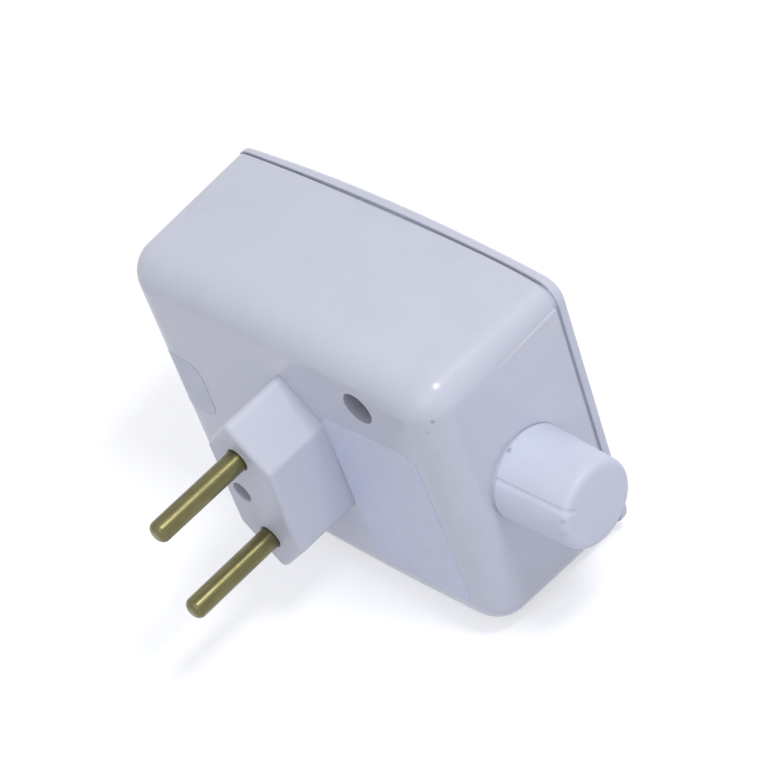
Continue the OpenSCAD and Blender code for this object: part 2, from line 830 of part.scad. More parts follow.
module noise_choke_core() {
  color(dark_plastic)
  difference() {
    union() {
      rod_y(choke_spot, choke_core_r, board_top, board_top + choke_h);
      rod_y(choke_spot, choke_r, board_top, board_top + choke_rim);
      rod_y(choke_spot, choke_r, board_top + choke_h - choke_rim, board_top + choke_h);
    }
    for (p = choke_leads) rod_y(p, lead_hole_r, board_top - over, board_top + choke_rim + over);
  }
}

module noise_choke_winding() {
  color(copper) {
    difference() {
      rod_y(choke_spot, winding_r, board_top + choke_rim, board_top + choke_h - choke_rim);
      rod_y(choke_spot, choke_core_r + hold_fit, board_top, board_top + choke_h);
    }
    for (p = choke_leads) lead(p, board_top + choke_rim + sink);
  }
}

// A boxed film capacitor standing on its two leads
module boxed_capacitor(spot, size, leads) {
  along_y(board_top, board_top + size.y) translate(spot)
    polygon(bar_outline(size.x / 2, size.z / 2, case_corner_r));
  for (p = leads) lead(p, board_top + sink);
}

module noise_capacitor() {
  color([0.75, 0.62, 0.2]) boxed_capacitor(noise_cap_spot, noise_cap_size, noise_cap_leads);
}

module timing_capacitor() {
  color([0.2, 0.35, 0.6]) boxed_capacitor(timing_cap_spot, timing_cap_size, timing_cap_leads);
}

// A part lying on the board with its wire ends bent down through it
module axial_part(leads, body_r, body_l) {
  y = board_top + body_r;
  middle = (leads[0] + leads[1]) / 2;
  span = leads[1] - leads[0];
  for (p = leads) {
    lead(p, y);
    translate([p.x, y, p.y]) sphere(lead_r);
  }
  translate([middle.x, y, middle.y]) rotate([0, atan2(span.x, span.y), 0]) {
    cylinder(h = norm(span), r = lead_r, center = true);
    cylinder(h = body_l, r = body_r, center = true);
  }
}

module timing_resistor() {
  color(resistor_tan) axial_part(timing_resistor_leads, resistor_r, resistor_l);
}

module series_resistor() {
  color(resistor_tan) axial_part(series_resistor_leads, resistor_r, resistor_l);
}

module diac() {
  color([0.3, 0.4, 0.6]) axial_part(diac_leads, diac_r, diac_l);
}

module pot_bushing() {
  color(aluminium)
  difference() {
    union() {
      rod_x(plate_r, pad_x - plate_t, pad_x);
      rod_x(neck_r, pad_x - sink, pad_x + neck_l);
    }
    rod_x(shaft_r + shaft_fit, pad_x - plate_t - over, pad_x + neck_l + over);
  }
}

module pot_washer() {
  color(steel)
  difference() {
    rod_x(washer_r, nut_seat_x, nut_seat_x + washer_t);
    rod_x(neck_r + slide_fit, nut_seat_x - over, nut_seat_x + washer_t + over);
  }
}

module pot_nut() {
  nut_x = nut_seat_x + washer_t;
  color(steel)
  difference() {
    translate([nut_x, knob_y, 0]) rotate([0, 90, 0]) cylinder(h = nut_t, r = nut_af / sqrt(3), $fn = 6);
    rod_x(neck_r + hold_fit, nut_x - over, nut_x + nut_t + over);
  }
}

// The carbon track's wafer, with a tab that leaves the can on the board's side
module pot_track() {
  color(board_tan)
  difference() {
    union() {
      rod_x(track_r, track_x, track_x + track_t);
      block([track_x, board_top + track_room, -track_tab_w / 2],
            [track_x + track_t, knob_y - track_tab_in, track_tab_w / 2]);
    }
    rod_x(track_hole_r, track_x - over, track_x + track_t + over);
  }
}

module pot_terminals() {
  color(brass)
  for (p = pot_leads)
    block([track_x - lug_t, board_y - lead_tail, p.y - lug_w / 2],
          [track_x, knob_y - lug_r, p.y + lug_w / 2]);
}

module pot_can() {
  rim_x = can_back_x + can_l;
  color(steel)
  difference() {
    rod_x(plate_r, can_back_x, rim_x);
    rod_x(plate_r - can_t, can_back_x + can_t, rim_x + over);
    block([track_x - lug_t - notch_room, knob_y - plate_r - over, -can_notch_w / 2],
          [rim_x + over, knob_y - can_notch_in, can_notch_w / 2]);
  }
}

module live_wire() {
  color([0.15, 0.15, 0.16]) loft(wire_rings(live_route));
}

module load_wire() {
  color([0.6, 0.12, 0.1]) loft(wire_rings(load_route));
}

module neutral_wire() {
  color([0.25, 0.45, 0.75]) loft(wire_rings(neutral_route));
}

// Half of the knob's section: a tapered side and a rounded front edge
module knob_section() {
  foot = knob_d / 2;
  front = knob_front_d / 2;
  polygon([[0, 0], [foot, 0], [front, knob_l - knob_edge_r], [0, knob_l - knob_edge_r]]);
  translate([front - knob_edge_r, knob_l - knob_edge_r]) circle(knob_edge_r);
  square([front - knob_edge_r, knob_l]);
}

// The pointer: a round groove along the side and a little way onto the front
module pointer_groove() {
  groove_r = pointer_w / 2;
  foot = knob_d / 2;
  front = knob_front_d / 2;
  lean = atan2(foot - front, knob_l);
  rotate([pointer_turn, 0, 0]) {
    translate([0, foot, 0]) rotate([0, 0, -lean]) rotate([0, 90, 0])
      translate([0, 0, -over]) cylinder(h = knob_l + over, r = groove_r);
    translate([knob_l, front - pointer_face_l, 0]) {
      rotate([-90, 0, 0]) cylinder(h = pointer_face_l + over, r = groove_r);
      sphere(groove_r);
    }
  }
}

module shaft_section(r) {
  intersection() {
    circle(r);
    translate([-r - over, -r - over]) square([2 * (r + over), 2 * r + over - flat_depth]);
  }
}

module knob() {
  color(knob_white)
  translate([knob_x, knob_y, 0]) difference() {
    rotate([0, 90, 0]) rotate_extrude() knob_section();
    pointer_groove();
    rotate([0, 90, 0]) {
      translate([0, 0, -over]) cylinder(h = nut_room_l + over, r = nut_room_r);
      difference() {
        cylinder(h = knob_l - knob_face_t, r = knob_pocket_r);
        cylinder(h = knob_l, r = hub_r);
        for (k = [0:knob_rib_count - 1]) rotate([0, 0, 45 + 360 * k / knob_rib_count])
          block([0, -knob_rib_t / 2, 0], [knob_d, knob_rib_t / 2, knob_l]);
      }
      linear_extrude(shaft_end_x - knob_x + shaft_room) shaft_section(shaft_r + hold_fit);
    }
  }
}

module pot_shaft() {
  plain_end = pad_x + neck_l;
  color(aluminium) {
    rod_x(shaft_r, shaft_tail_x, plain_end);
    translate([plain_end - sink, knob_y, 0]) rotate([0, 90, 0])
      linear_extrude(shaft_end_x - plain_end + sink) shaft_section(shaft_r);
  }
}

// The rotor on the shaft's inner end, with a finger over the track
module pot_wiper() {
  color(dark_plastic)
  difference() {
    union() {
      rod_x(wiper_r, wiper_x - wiper_t, wiper_x);
      translate([wiper_x - sink, knob_y, 0]) rotate([pointer_turn, 0, 0])
        block([0, finger_r, -finger_w / 2],
              [sink + track_x - wiper_x - finger_room, finger_r + finger_l, finger_w / 2]);
    }
    rod_x(shaft_r + hold_fit, wiper_x - wiper_t - over, wiper_x + over);
  }
}

rear_housing();
front_cover();
cover_screws();
plug_block();
plug_pin_live();
plug_pin_neutral();
outlet_block();
outlet_cap();
outlet_contact_live();
outlet_contact_neutral();
circuit_board();
triac();
heat_sink();
heat_sink_screw();
heat_sink_nut();
noise_choke_core();
noise_choke_winding();
noise_capacitor();
timing_capacitor();
timing_resistor();
series_resistor();
diac();
pot_bushing();
pot_washer();
pot_nut();
pot_track();
pot_terminals();
pot_can();
live_wire();
load_wire();
neutral_wire();
knob();
pot_shaft();
pot_wiper();
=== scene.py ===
"""Looks of the plug-in dimmer: moulded shells, turned pins, bare labels and the studio around them.

Shapes are worked out in millimetres and put into the meshes in metres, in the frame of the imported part:
X towards the knob, Y from the plug towards the cover, Z up, with the origin between the pins.
"""
import json
import math
from functools import reduce
from itertools import chain

import bmesh
import bpy
import numpy as np
from mathutils import Matrix, Vector, geometry


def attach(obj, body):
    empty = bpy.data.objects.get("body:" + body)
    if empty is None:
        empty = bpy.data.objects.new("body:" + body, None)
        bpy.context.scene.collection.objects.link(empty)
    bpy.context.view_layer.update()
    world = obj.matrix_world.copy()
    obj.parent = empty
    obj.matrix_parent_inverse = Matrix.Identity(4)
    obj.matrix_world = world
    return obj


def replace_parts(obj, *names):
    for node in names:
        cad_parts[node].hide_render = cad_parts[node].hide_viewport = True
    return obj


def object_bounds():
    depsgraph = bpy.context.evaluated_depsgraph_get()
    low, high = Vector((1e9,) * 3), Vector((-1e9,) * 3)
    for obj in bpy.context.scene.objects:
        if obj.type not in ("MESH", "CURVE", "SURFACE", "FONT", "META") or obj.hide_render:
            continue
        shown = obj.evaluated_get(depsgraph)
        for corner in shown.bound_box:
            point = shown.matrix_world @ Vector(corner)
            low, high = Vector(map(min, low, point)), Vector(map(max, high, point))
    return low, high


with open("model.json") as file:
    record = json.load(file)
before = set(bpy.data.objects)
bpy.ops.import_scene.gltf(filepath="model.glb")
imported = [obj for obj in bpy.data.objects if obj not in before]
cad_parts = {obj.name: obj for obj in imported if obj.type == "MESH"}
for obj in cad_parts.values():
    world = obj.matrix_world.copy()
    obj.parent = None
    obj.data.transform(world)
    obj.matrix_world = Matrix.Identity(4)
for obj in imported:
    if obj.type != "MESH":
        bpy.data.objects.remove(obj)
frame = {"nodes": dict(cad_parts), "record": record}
cad_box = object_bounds()

MM = 0.001
QUARTER = np.pi / 2

# Box
HALF_W = 37.5  # half its length, at the parting line
HALF_H = 29.5  # half its height, amid the long sides
BOX_D = 30.0  # from its rear face to the parting line
SIDE_BOW = 1.7  # rise of the long sides between their ends
BOW_R = (HALF_W ** 2 + SIDE_BOW ** 2) / (2 * SIDE_BOW)
BOW_C = HALF_H - BOW_R  # centre of the upper side's circle
CORNER_R = 3.7  # at the parting line
REAR_CORNER_R = 5.5  # where the rear edge begins
LEAST_CORNER_R = 0.4
REAR_R = 6.5  # round of the rear edge
WALL = 2.0
WALL_DRAFT = math.tan(math.radians(0.9))
REAR_Y = 13.2
FLOOR_Y = REAR_Y + WALL
PART_Y = REAR_Y + BOX_D
RIM_R = 0.15  # round of the rim
EDGE_BREAK = 0.1  # of the recesses and the cover's back
CUT_PAST = 1.0  # how far a cut runs past a face
REAR_GRID = (28.0, 20.0), (29, 21)  # half sizes and counts of the points that even out the rear face
REAR_GRID_ROOM = 1.0  # between those points and the plug

# Panel on the knob's end
END_DRAFT = math.tan(math.radians(2.0))
PANEL_PROUD = 0.35
PANEL_RISE = 1.2  # its height before the drafted plane cuts it, as a share of the height that is left
PANEL_FOOT = 0.7  # where it starts, as a share of the rear edge's round
PANEL_RUN = 6.0  # length over which it comes up from there
CREASE = 0.03  # softness of the crease where the plane cuts it

# Shares of a straight end at which it has points: close ones at the panel's edge, even ones over the panel
PANEL_EDGE = np.array([0.997, 0.9935, 0.9865, 0.9795, 0.976])
PANEL_FACE = np.linspace(-0.955, 0.955, 43)
END_STEPS = np.concatenate([-PANEL_EDGE, PANEL_FACE, PANEL_EDGE[::-1]])

# Sag of the parting line
RIM_SAG = 0.6  # of the box's rim, at the knob's end
COVER_SAG = 0.42  # of the cover's back edge, at the knob's end
SIDE_SAG = 0.3  # of the rim, amid the long sides
END_SAG_X = 24.0  # start of the sag towards the knob's end
END_SAG_RUN = 13.5
SIDE_SAG_X = -1.0  # deepest point of the sag along the long sides
SIDE_SAG_RUN = 15.0
SIDE_SAG_Z = 22.0  # where the sag starts, going up or down to a long side
SIDE_SAG_RISE = 4.0
RIM_FADE = 8.0  # depth of wall over which the rim's sag fades out

# Cover
SHADOW_GAP = 0.4
COVER_T = 1.4
COVER_ARCH = 0.5  # rise of the front's middle
COVER_EDGE_R = 0.8
COVER_EDGE_FLAT = 0.5  # from the edge's round to the even front
COVER_PROUD = 0.2  # how far the edge stands out past the box
COVER_Y = PART_Y + SHADOW_GAP
LAND = 0.7  # depth of the shadow gap's groove
END_LAND = 0.38  # depth of that groove at the knob's end
LIP_IN = 2.1
LIP_T = 1.2
LIP_L = 1.8
LIP_CORNER_R = 2.2
OPENING_ROOM = np.array([0.5, 0.3, 0.15, 0.1, 0.1])  # soft edge of the opening: room round the outlet,
OPENING_DROP = np.array([0, 0, 0.05, 0.2, 0])  # and depth behind the front
COVER_GRID = (34.0, 26.0), (35, 27)  # half sizes and counts of the points that even out the front
COVER_GRID_ROOM = 4.0

# Screw recesses
SCREWS = np.array([[19.0, 19.0], [-19.0, -19.0]])
RECESS_R = 3.05
TUBE_R = 4.4
SHANK_R = 1.55
TUBE_FOOT_Y = REAR_Y + 0.8
TUBE_END_Y = PART_Y - 8.0
SEAT_Y = PART_Y - 10.2

# Plug
PLUG_HALF_W = 7.7
PLUG_TIP = 17.7
PLUG_FLAT = 9.5  # half the length of its upright sides
PLUG_CORNER_R = 1.2
LEAST_PLUG_R = 0.15
PLUG_EDGE_R = 1.1
PLUG_EDGE_FLAT = 0.4  # from the edge's round to the even front
PLUG_ROOM = 0.03  # between the plug and the box
FLANGE_Y = 17.2
FLANGE_RIM = 2.0
EARTH_R = 2.0
EARTH_L = 11.0
EARTH_RING = 0.7  # flat ring round the hole
EARTH_ROUND = 0.3
EARTH = np.array([-3.0, 0])

# Pins
PIN_R = 2.0
PIN_L = 19.0
PIN_TIP_R = 1.25
PIN_CROWN = 0.02  # rise of the tip's middle
PIN_SINK = 0.25  # how far the full width goes into the plug
PIN_RINGS_Y = -10.0, -1.0  # rings of points along the side
PIN_SEAT = 0.3  # depth of the plug's seat for it
PIN_SEAT_ROOM = 0.12  # round the pin, at the seat's foot
PIN_MOUTH_ROOM = 0.22  # round the pin, at the seat's mouth
PIN_RING = 0.75  # round the pin, to the end of the mouth's soft edge
PIN_SEAT_ROUNDS = 0.2, 0.05, 0.05
STEM_R = 1.7
STEM_ROOM = 0.02
COLLAR_R = 3.2
COLLAR_Y = 16.0
HALF_PITCH = 9.5
PINS = np.array([[0, HALF_PITCH], [0, -HALF_PITCH]])
TAG_BACK = 2.0
TAG_L = 7.0
TAG_RISE = 3.8
TAG_T = 0.8
TAG_HALF_W = 2.0

# Outlet
OUTLET_FRONT_Y = 45.7
OUTLET_FLOOR_Y = 37.5
OUTLET_BACK_Y = 35.0
OUTLET_ROOM = 0.5  # of its recess round a plug
OUTLET_SKIN = 2.1  # of its outside round a plug
OUTLET_HOLE_R = 2.1
OUTLET_HOLE_RING = 0.8  # flat ring round a hole
OUTLET_HOLE_ROUND = 0.35
RIM_ROUND = 0.25, 0.07  # outer edge of its rim: the radius, and how far the arc's middle is set back
MOUTH_ROUND = 0.3, 0.09
CORNER_ROUND = 0.4, 0.12  # corner of the recess's floor

# Knob, with lengths along its axis from KNOB_X
KNOB_Y = 28.2
KNOB_X = 37.476
KNOB_L = 14.6
KNOB_CROWN = 0.12  # rise of the face's middle
KNOB_FACE_DROP = 0.05  # of the face's edge
KNOB_FOOT_X = -0.15
KNOB_FOOT_R = 8.4
KNOB_FRONT_R = 7.75
KNOB_EDGE_R = 1.5
FOOT_ROUND = 0.12
FOOT_FLAT = 1.2
NUT_ROOM_R = 6.7
NUT_ROOM_L = 4.5
POCKET_R = 6.25
HUB_R = 4.8
SHAFT_HOLE_R = 3.02
SHAFT_HOLE_L = 12.6

# Pointer groove in the knob
POINTER_TURN = math.radians(145.0)
GROOVE_DEPTH = 0.17
UPPER_EDGE = 0.56  # from the pointer's plane to the upper wall's edge
UPPER_RUN = 0.55  # width of the upper wall
LOWER_EDGE = 0.95
LOWER_RUN = 0.85
GROOVE_END_R = 4.9  # its end on the face
GROOVE_END_RUN = 0.8
GROOVE_FOOT_RUN = 1.15  # length over which it starts at the foot
TURN_CROWDING = 0.86  # how closely the turns are packed round the pointer, under 1

# Knob's seat on the box
NUT_SPOT_R = 6.6
NUT_SEAT_X = 36.476
NECK_HOLE_R = 3.7
HOLE_IN = 6.0  # how far the hole is cut inwards and outwards from the nut's seat
HOLE_OUT = 3.0
KNOB_SEAT_R = 8.2
KNOB_SEAT_X = 37.24
KNOB_SEAT_SINK = 0.5  # how far it starts below the nut's seat
KNOB_SEAT_EDGE = 0.05

# Labels
LABEL_T = 0.06
LABEL_CURL = 0.025  # lift of the edge
LABEL_EDGE = 0.25  # width of the lifted edge
LABEL_SINK = 0.03  # of the underside into the box
LABEL_MARGIN = 0.7  # between the edge and the even points
LABEL_CORNER_MARGIN = 0.5

# Meshes
SHARP = 38.0  # edges over this many degrees stay crisp
LABEL_SHARP = 60.0
WELD = 4e-6  # in metres: points closer than this become one
SLIVER = 1e-7  # in metres: edges shorter than this are taken out
SAME_POINT = 1e-5  # in millimetres, in a triangulation
LEAST_STEP = 1e-3  # in millimetres, along a label's edge
INSIDE_WITH_HOLES = 2  # kind of triangulation: inside the outer loop, outside the others
MOST_CUT = 0.49  # share of a leg that a softened corner may take


# Surfaces


def box_outline(inset, radius, corner_n=22, bow_n=64):
    """Outlines of the box from behind, one per row: straight ends, four corner arcs and two bowed sides.

    A corner is the circle that touches the end, at half width minus inset, and the bow, a circle about
    (0, BOW_C).
    """
    inset = np.asarray(inset, float).reshape(-1, 1)
    radius = np.broadcast_to(np.asarray(radius, float).reshape(-1, 1), inset.shape)
    half, big = HALF_W - inset, BOW_R - inset
    mid_z = BOW_C + np.sqrt((big - radius) ** 2 - (half - radius) ** 2)
    tilt = np.arcsin((half - radius) / (big - radius))
    a = np.linspace(0, 1, corner_n) * (QUARTER - tilt)
    corner_x, corner_z = half - radius + radius * np.cos(a), mid_z + radius * np.sin(a)
    b = QUARTER - tilt + 2 * tilt * np.linspace(0, 1, bow_n)[1:-1]
    upper_x = np.concatenate([corner_x, big * np.cos(b), -corner_x[:, ::-1]], 1)
    upper_z = np.concatenate([corner_z, BOW_C + big * np.sin(b), corner_z[:, ::-1]], 1)
    end_z = mid_z * END_STEPS
    end_x = np.broadcast_to(half, end_z.shape)
    x = np.concatenate([end_x, upper_x, -end_x, upper_x[:, ::-1]], 1)
    z = np.concatenate([end_z, upper_z, -end_z, -upper_z[:, ::-1]], 1)
    return np.stack([x, z], -1)


def plug_outline(grow, arc_n=11, side_n=9):
    """Six-sided outlines, one per row: a hexagon set off by grow, with corner arcs that follow it."""
    grow = np.asarray(grow, float).reshape(-1, 1, 1, 1)
    round_r = np.maximum(PLUG_CORNER_R + grow, LEAST_PLUG_R)
    draw = (round_r - grow).ravel()
    slant = math.hypot(PLUG_HALF_W, PLUG_TIP - PLUG_FLAT)
    nx, nz = (PLUG_TIP - PLUG_FLAT) / slant, PLUG_HALF_W / slant
    x = PLUG_HALF_W - draw
    side_z = PLUG_FLAT - draw * (1 - nx) / nz
    tip = np.stack([0 * draw, PLUG_TIP - draw / nz], -1)
    right, left = np.stack([x, side_z], -1), np.stack([-x, side_z], -1)
    core = np.stack([right, tip, left, -right, -tip, -left], 1)
    lean = math.atan2(nz, nx)
    first = np.array([0, lean, np.pi - lean, np.pi, np.pi + lean, 2 * np.pi - lean])
    turn = np.array([lean, np.pi - 2 * lean, lean, lean, np.pi - 2 * lean, lean])
    a = first[:, None] + turn[:, None] * np.linspace(0, 1, arc_n)
    arcs = core[:, :, None] + round_r * np.stack([np.cos(a), np.sin(a)], -1)
    ends = np.roll(arcs[:, :, 0], -1, axis=1)
    s = np.linspace(0, 1, side_n)[1:-1, None]
    sides = arcs[:, :, -1, None] * (1 - s) + ends[:, :, None] * s
    return np.concatenate([arcs, sides], 2).reshape(len(grow), -1, 2)


def circle(centre, r, n=48):
    """Points of a circle about centre."""
    a = np.linspace(0, 2 * np.pi, n, endpoint=False)
    return np.asarray(centre) + r * np.stack([np.cos(a), np.sin(a)], -1)


def even_grid(half, counts):
    """Points of an even grid about the origin, with half sizes and a count of points each way."""
    gx, gz = np.meshgrid(*(np.linspace(-h, h, n) for h, n in zip(half, counts)))
    return np.stack([gx.ravel(), gz.ravel()], -1)


def clear_of_plug(points, room):
    """Those of the points that lie outside the rectangle round the plug with some room."""
    return points[(np.abs(points) > [PLUG_HALF_W + room, PLUG_TIP + room]).any(1)]


def set_at(outlines, y):
    """Flat outlines in X and Z, each at its own depth y."""
    y = np.broadcast_to(np.asarray(y, float).reshape(len(outlines), -1), outlines.shape[:2])
    return np.stack([outlines[..., 0], y, outlines[..., 1]], -1)


def flat(row):
    """An outline's X and Z."""
    return row[:, [0, 2]]


def soften(points, radii, steps=6):
    """A polyline with quadratic curves for its inner corners, from a radius before each to one after it."""
    points = np.asarray(points, float)
    before, at, after = points[:-2], points[1:-1], points[2:]
    back, on = before - at, after - at
    back_l, on_l = np.linalg.norm(back, axis=1), np.linalg.norm(on, axis=1)
    cut = np.minimum(np.broadcast_to(radii, back_l.shape), MOST_CUT * np.minimum(back_l, on_l))
    a, b = at + back * (cut / back_l)[:, None], at + on * (cut / on_l)[:, None]
    s = np.linspace(0, 1, steps)[:, None]
    curves = (1 - s) ** 2 * a[:, None] + 2 * s * (1 - s) * at[:, None] + s ** 2 * b[:, None]
    return np.concatenate([points[:1], curves.reshape(-1, 2), points[-1:]])


def lathe_y(profile, centre, n=48):
    """Rows of circles about an axis along Y through centre: a profile of radius and depth, turned round."""
    a = np.linspace(0, 2 * np.pi, n, endpoint=False)
    r, y = profile[:, :1], profile[:, 1:]
    return np.stack([centre[0] + r * np.cos(a), y + 0 * a, centre[1] + r * np.sin(a)], -1)


def lathe_x(profile, n=64):
    """Rows of circles about the knob's axis: a profile of radius and distance along X, turned round."""
    a = np.linspace(0, 2 * np.pi, n, endpoint=False)
    r, x = profile[:, :1], profile[:, 1:]
    return np.stack([x + 0 * a, KNOB_Y + r * np.cos(a), r * np.sin(a)], -1)


def strips(rows):
    """Points and four-sided faces of a grid whose rows are closed loops."""
    r, n = rows.shape[:2]
    i, j = np.meshgrid(np.arange(r - 1) * n, np.arange(n), indexing="ij")
    k = (j + 1) % n
    return rows.reshape(-1, 3), np.stack([i + j, i + k, i + n + k, i + n + j], -1).reshape(-1, 4)


def fill(loops, depth, inner=None):
    """Points and faces of a sheet with holes: constrained Delaunay triangles over loops and inner points.

    depth is the sheet's Y as a number, or as a function of x and z.
    """
    sizes = np.array([len(p) for p in loops])
    starts = np.cumsum(sizes) - sizes
    rings = [(s + np.arange(n)).tolist() for s, n in zip(starts, sizes)]
    points = np.concatenate(list(loops) + ([] if inner is None else [inner]))
    found = geometry.delaunay_2d_cdt(points.tolist(), [], rings, INSIDE_WITH_HOLES, SAME_POINT)
    x, z = np.array(found[0]).T
    y = depth(x, z) if callable(depth) else np.full(len(x), depth)
    return np.stack([x, y, z], -1), np.array(found[2])


def smooth(piece, sharp):
    """Smooth shading, with edges sharper than the angle kept crisp."""
    piece.data.polygons.foreach_set("use_smooth", np.ones(len(piece.data.polygons), bool))
    piece.data.set_sharp_from_angle(angle=math.radians(sharp))
    piece.data.update()


def make_piece(name, patches, sharp=SHARP):
    """A mesh object from patches of points and faces, joined where they meet, facing outwards."""
    starts = np.cumsum([0] + [len(p) for p, _ in patches])
    points = np.concatenate([p for p, _ in patches]) * MM
    faces = chain.from_iterable((f + s).tolist() for (_, f), s in zip(patches, starts))
    mesh = bpy.data.meshes.new(name)
    mesh.from_pydata(points.tolist(), [], list(faces))
    bm = bmesh.new()
    bm.from_mesh(mesh)
    bmesh.ops.remove_doubles(bm, verts=bm.verts, dist=WELD)
    bmesh.ops.dissolve_degenerate(bm, edges=bm.edges, dist=SLIVER)
    bmesh.ops.recalc_face_normals(bm, faces=bm.faces)
    bm.to_mesh(mesh)
    bm.free()
    piece = bpy.data.objects.new(name, mesh)
    bpy.context.scene.collection.objects.link(piece)
    smooth(piece, sharp)
    return piece


def combine(piece, patches, operation):
    """Adds closed shapes to a piece, or takes them away from it."""
    other = make_piece(piece.name + "_other", patches)
    boolean = piece.modifiers.new("combine", "BOOLEAN")
    boolean.operation, boolean.solver, boolean.object = operation, "EXACT", other
    done = bpy.data.meshes.new_from_object(piece.evaluated_get(bpy.context.evaluated_depsgraph_get()))
    piece.modifiers.clear()
    piece.data = done
    bpy.data.objects.remove(other)
    smooth(piece, SHARP)


# The rear housing


def end_panel(points):
    """The drafted panel behind the knob, between the corners of the knob's end.

    That end is drawn in a little and, between its corners, raised again by the panel's height, which fades
    out towards the rear edge. X is then the smaller of this and the panel's plane, rounded where they cross.
    """
    x, y = points[..., 0], points[..., 1]
    x = np.where(x > 0, x * (1 - PANEL_PROUD / HALF_W), x)
    plane = HALF_W - (PART_Y - y) * END_DRAFT
    n = x.shape[1]
    across = np.where(np.arange(n) < len(END_STEPS), np.abs(np.resize(END_STEPS, n)), 1)
    panel = np.clip((PANEL_EDGE[0] - across) / (PANEL_EDGE[0] - PANEL_EDGE[-1]), 0, 1)
    panel = panel * panel * (3 - 2 * panel)
    up = np.clip((y - REAR_Y - PANEL_FOOT * REAR_R) / PANEL_RUN, 0, 1)
    raised = x + PANEL_RISE * PANEL_PROUD * up * panel
    soft = 0.5 * (raised + plane - np.sqrt((raised - plane) ** 2 + CREASE ** 2))
    points[..., 0] = np.where(x > 0, soft, x)
    return points


def sag(rows, end, side):
    """How far the parting line lies below its plane: by end at the knob's end, by side amid the long sides.

    The first grows with the square of the way to that end, the second is a bell along X, near those sides.
    """
    x, z = rows[..., 0], rows[..., -1]
    at_end = np.clip((x - END_SAG_X) / END_SAG_RUN, 0, 1) ** 2
    bell = np.exp(-((x - SIDE_SAG_X) / SIDE_SAG_RUN) ** 2)
    return end * at_end + side * (bell * np.clip((np.abs(z) - SIDE_SAG_Z) / SIDE_SAG_RISE, 0, 1))


def lower_rim(points):
    """The housing's points, lowered by the sag at the rim; this fades out with the square of the depth."""
    share = np.clip((points[..., 1] - PART_Y + RIM_FADE) / RIM_FADE, 0, 1) ** 2
    points[..., 1] -= share * sag(points, RIM_SAG, SIDE_SAG)
    return points


def shell_rows(skin, wall_n=26, edge_n=26):
    """Rows of the housing's outside, or of its hollow when skin is the wall: drafted sides and the rear edge.

    In the edge the outline is drawn in by r (1 - cos t) while it goes back by r sin t, and its corners
    shrink with cos t.
    """
    r = REAR_R - skin
    y = np.linspace(PART_Y - (0 if skin else RIM_R), REAR_Y + REAR_R, wall_n)
    share = (PART_Y - y) / (BOX_D - REAR_R)
    wall_in = (PART_Y - y) * WALL_DRAFT + skin
    wall_r = CORNER_R + (REAR_CORNER_R - CORNER_R) * share - skin
    t = np.linspace(0, QUARTER, edge_n)[1:]
    edge_in = wall_in[-1] + r * (1 - np.cos(t))
    edge_r = np.maximum(LEAST_CORNER_R, (REAR_CORNER_R - skin) * np.cos(t))
    edge_y = REAR_Y + skin + r * (1 - np.sin(t))
    outlines = box_outline(np.concatenate([wall_in, edge_in]), np.concatenate([wall_r, edge_r]))
    return set_at(outlines, np.concatenate([y, edge_y]))


def open_box():
    """The housing's outside, rim and hollow, with a rear face and a floor round the plug's opening.

    The rim is a quarter round from the outside, then flat to the hollow.
    """
    outside = lower_rim(end_panel(shell_rows(0)))
    hollow = lower_rim(shell_rows(WALL))
    t = np.linspace(0, QUARTER, 5)
    rim_in = np.concatenate([[WALL], RIM_R * (1 - np.sin(t))])
    rim_y = np.concatenate([[PART_Y], PART_Y - RIM_R * (1 - np.cos(t))])
    rim = lower_rim(end_panel(set_at(box_outline(rim_in, CORNER_R - rim_in), rim_y)))
    rim[0], rim[-1] = hollow[0], outside[0]
    opening = set_at(plug_outline([PLUG_ROOM, PLUG_ROOM]), [REAR_Y, FLOOR_Y])
    grid = clear_of_plug(even_grid(*REAR_GRID), REAR_GRID_ROOM)
    rear = fill([flat(outside[-1]), flat(opening[0])], REAR_Y, grid)
    floor = fill([flat(hollow[-1]), flat(opening[-1])], FLOOR_Y, grid)
    return [strips(outside), strips(hollow), strips(rim), strips(opening), rear, floor]


def rear_housing():
    """The open box, with screw tubes and the knob's seat added, then screw recesses and the knob's hole cut.

    Each of these is a profile of radius and depth, turned round its own axis.
    """
    tube = np.array([[0, TUBE_FOOT_Y], [TUBE_R, TUBE_FOOT_Y], [TUBE_R, TUBE_END_Y], [0, TUBE_END_Y]])
    seat_in = NUT_SEAT_X - KNOB_SEAT_SINK
    seat = np.array([[0, seat_in], [KNOB_SEAT_R, seat_in], [KNOB_SEAT_R, KNOB_SEAT_X - KNOB_SEAT_EDGE],
                     [KNOB_SEAT_R - KNOB_SEAT_EDGE, KNOB_SEAT_X], [0, KNOB_SEAT_X]])
    mouth_r, mouth_y, end_y = RECESS_R + EDGE_BREAK, REAR_Y - CUT_PAST, TUBE_END_Y + CUT_PAST
    recess = np.array([[0, mouth_y], [mouth_r, mouth_y], [mouth_r, REAR_Y], [RECESS_R, REAR_Y + EDGE_BREAK],
                       [RECESS_R, SEAT_Y], [SHANK_R, SEAT_Y], [SHANK_R, end_y], [0, end_y]])
    hole_in, hole_out = NUT_SEAT_X - HOLE_IN, NUT_SEAT_X + HOLE_OUT
    hole = np.array([[0, hole_in], [NECK_HOLE_R, hole_in], [NECK_HOLE_R, NUT_SEAT_X],
                     [NUT_SPOT_R, NUT_SEAT_X], [NUT_SPOT_R, hole_out], [0, hole_out]])
    piece = make_piece("housing_shell", open_box())
    combine(piece, [strips(lathe_y(tube, c)) for c in SCREWS] + [strips(lathe_x(seat, 96))], "UNION")
    combine(piece, [strips(lathe_y(recess, c, 64)) for c in SCREWS] + [strips(lathe_x(hole))], "DIFFERENCE")
    return piece


# The cover


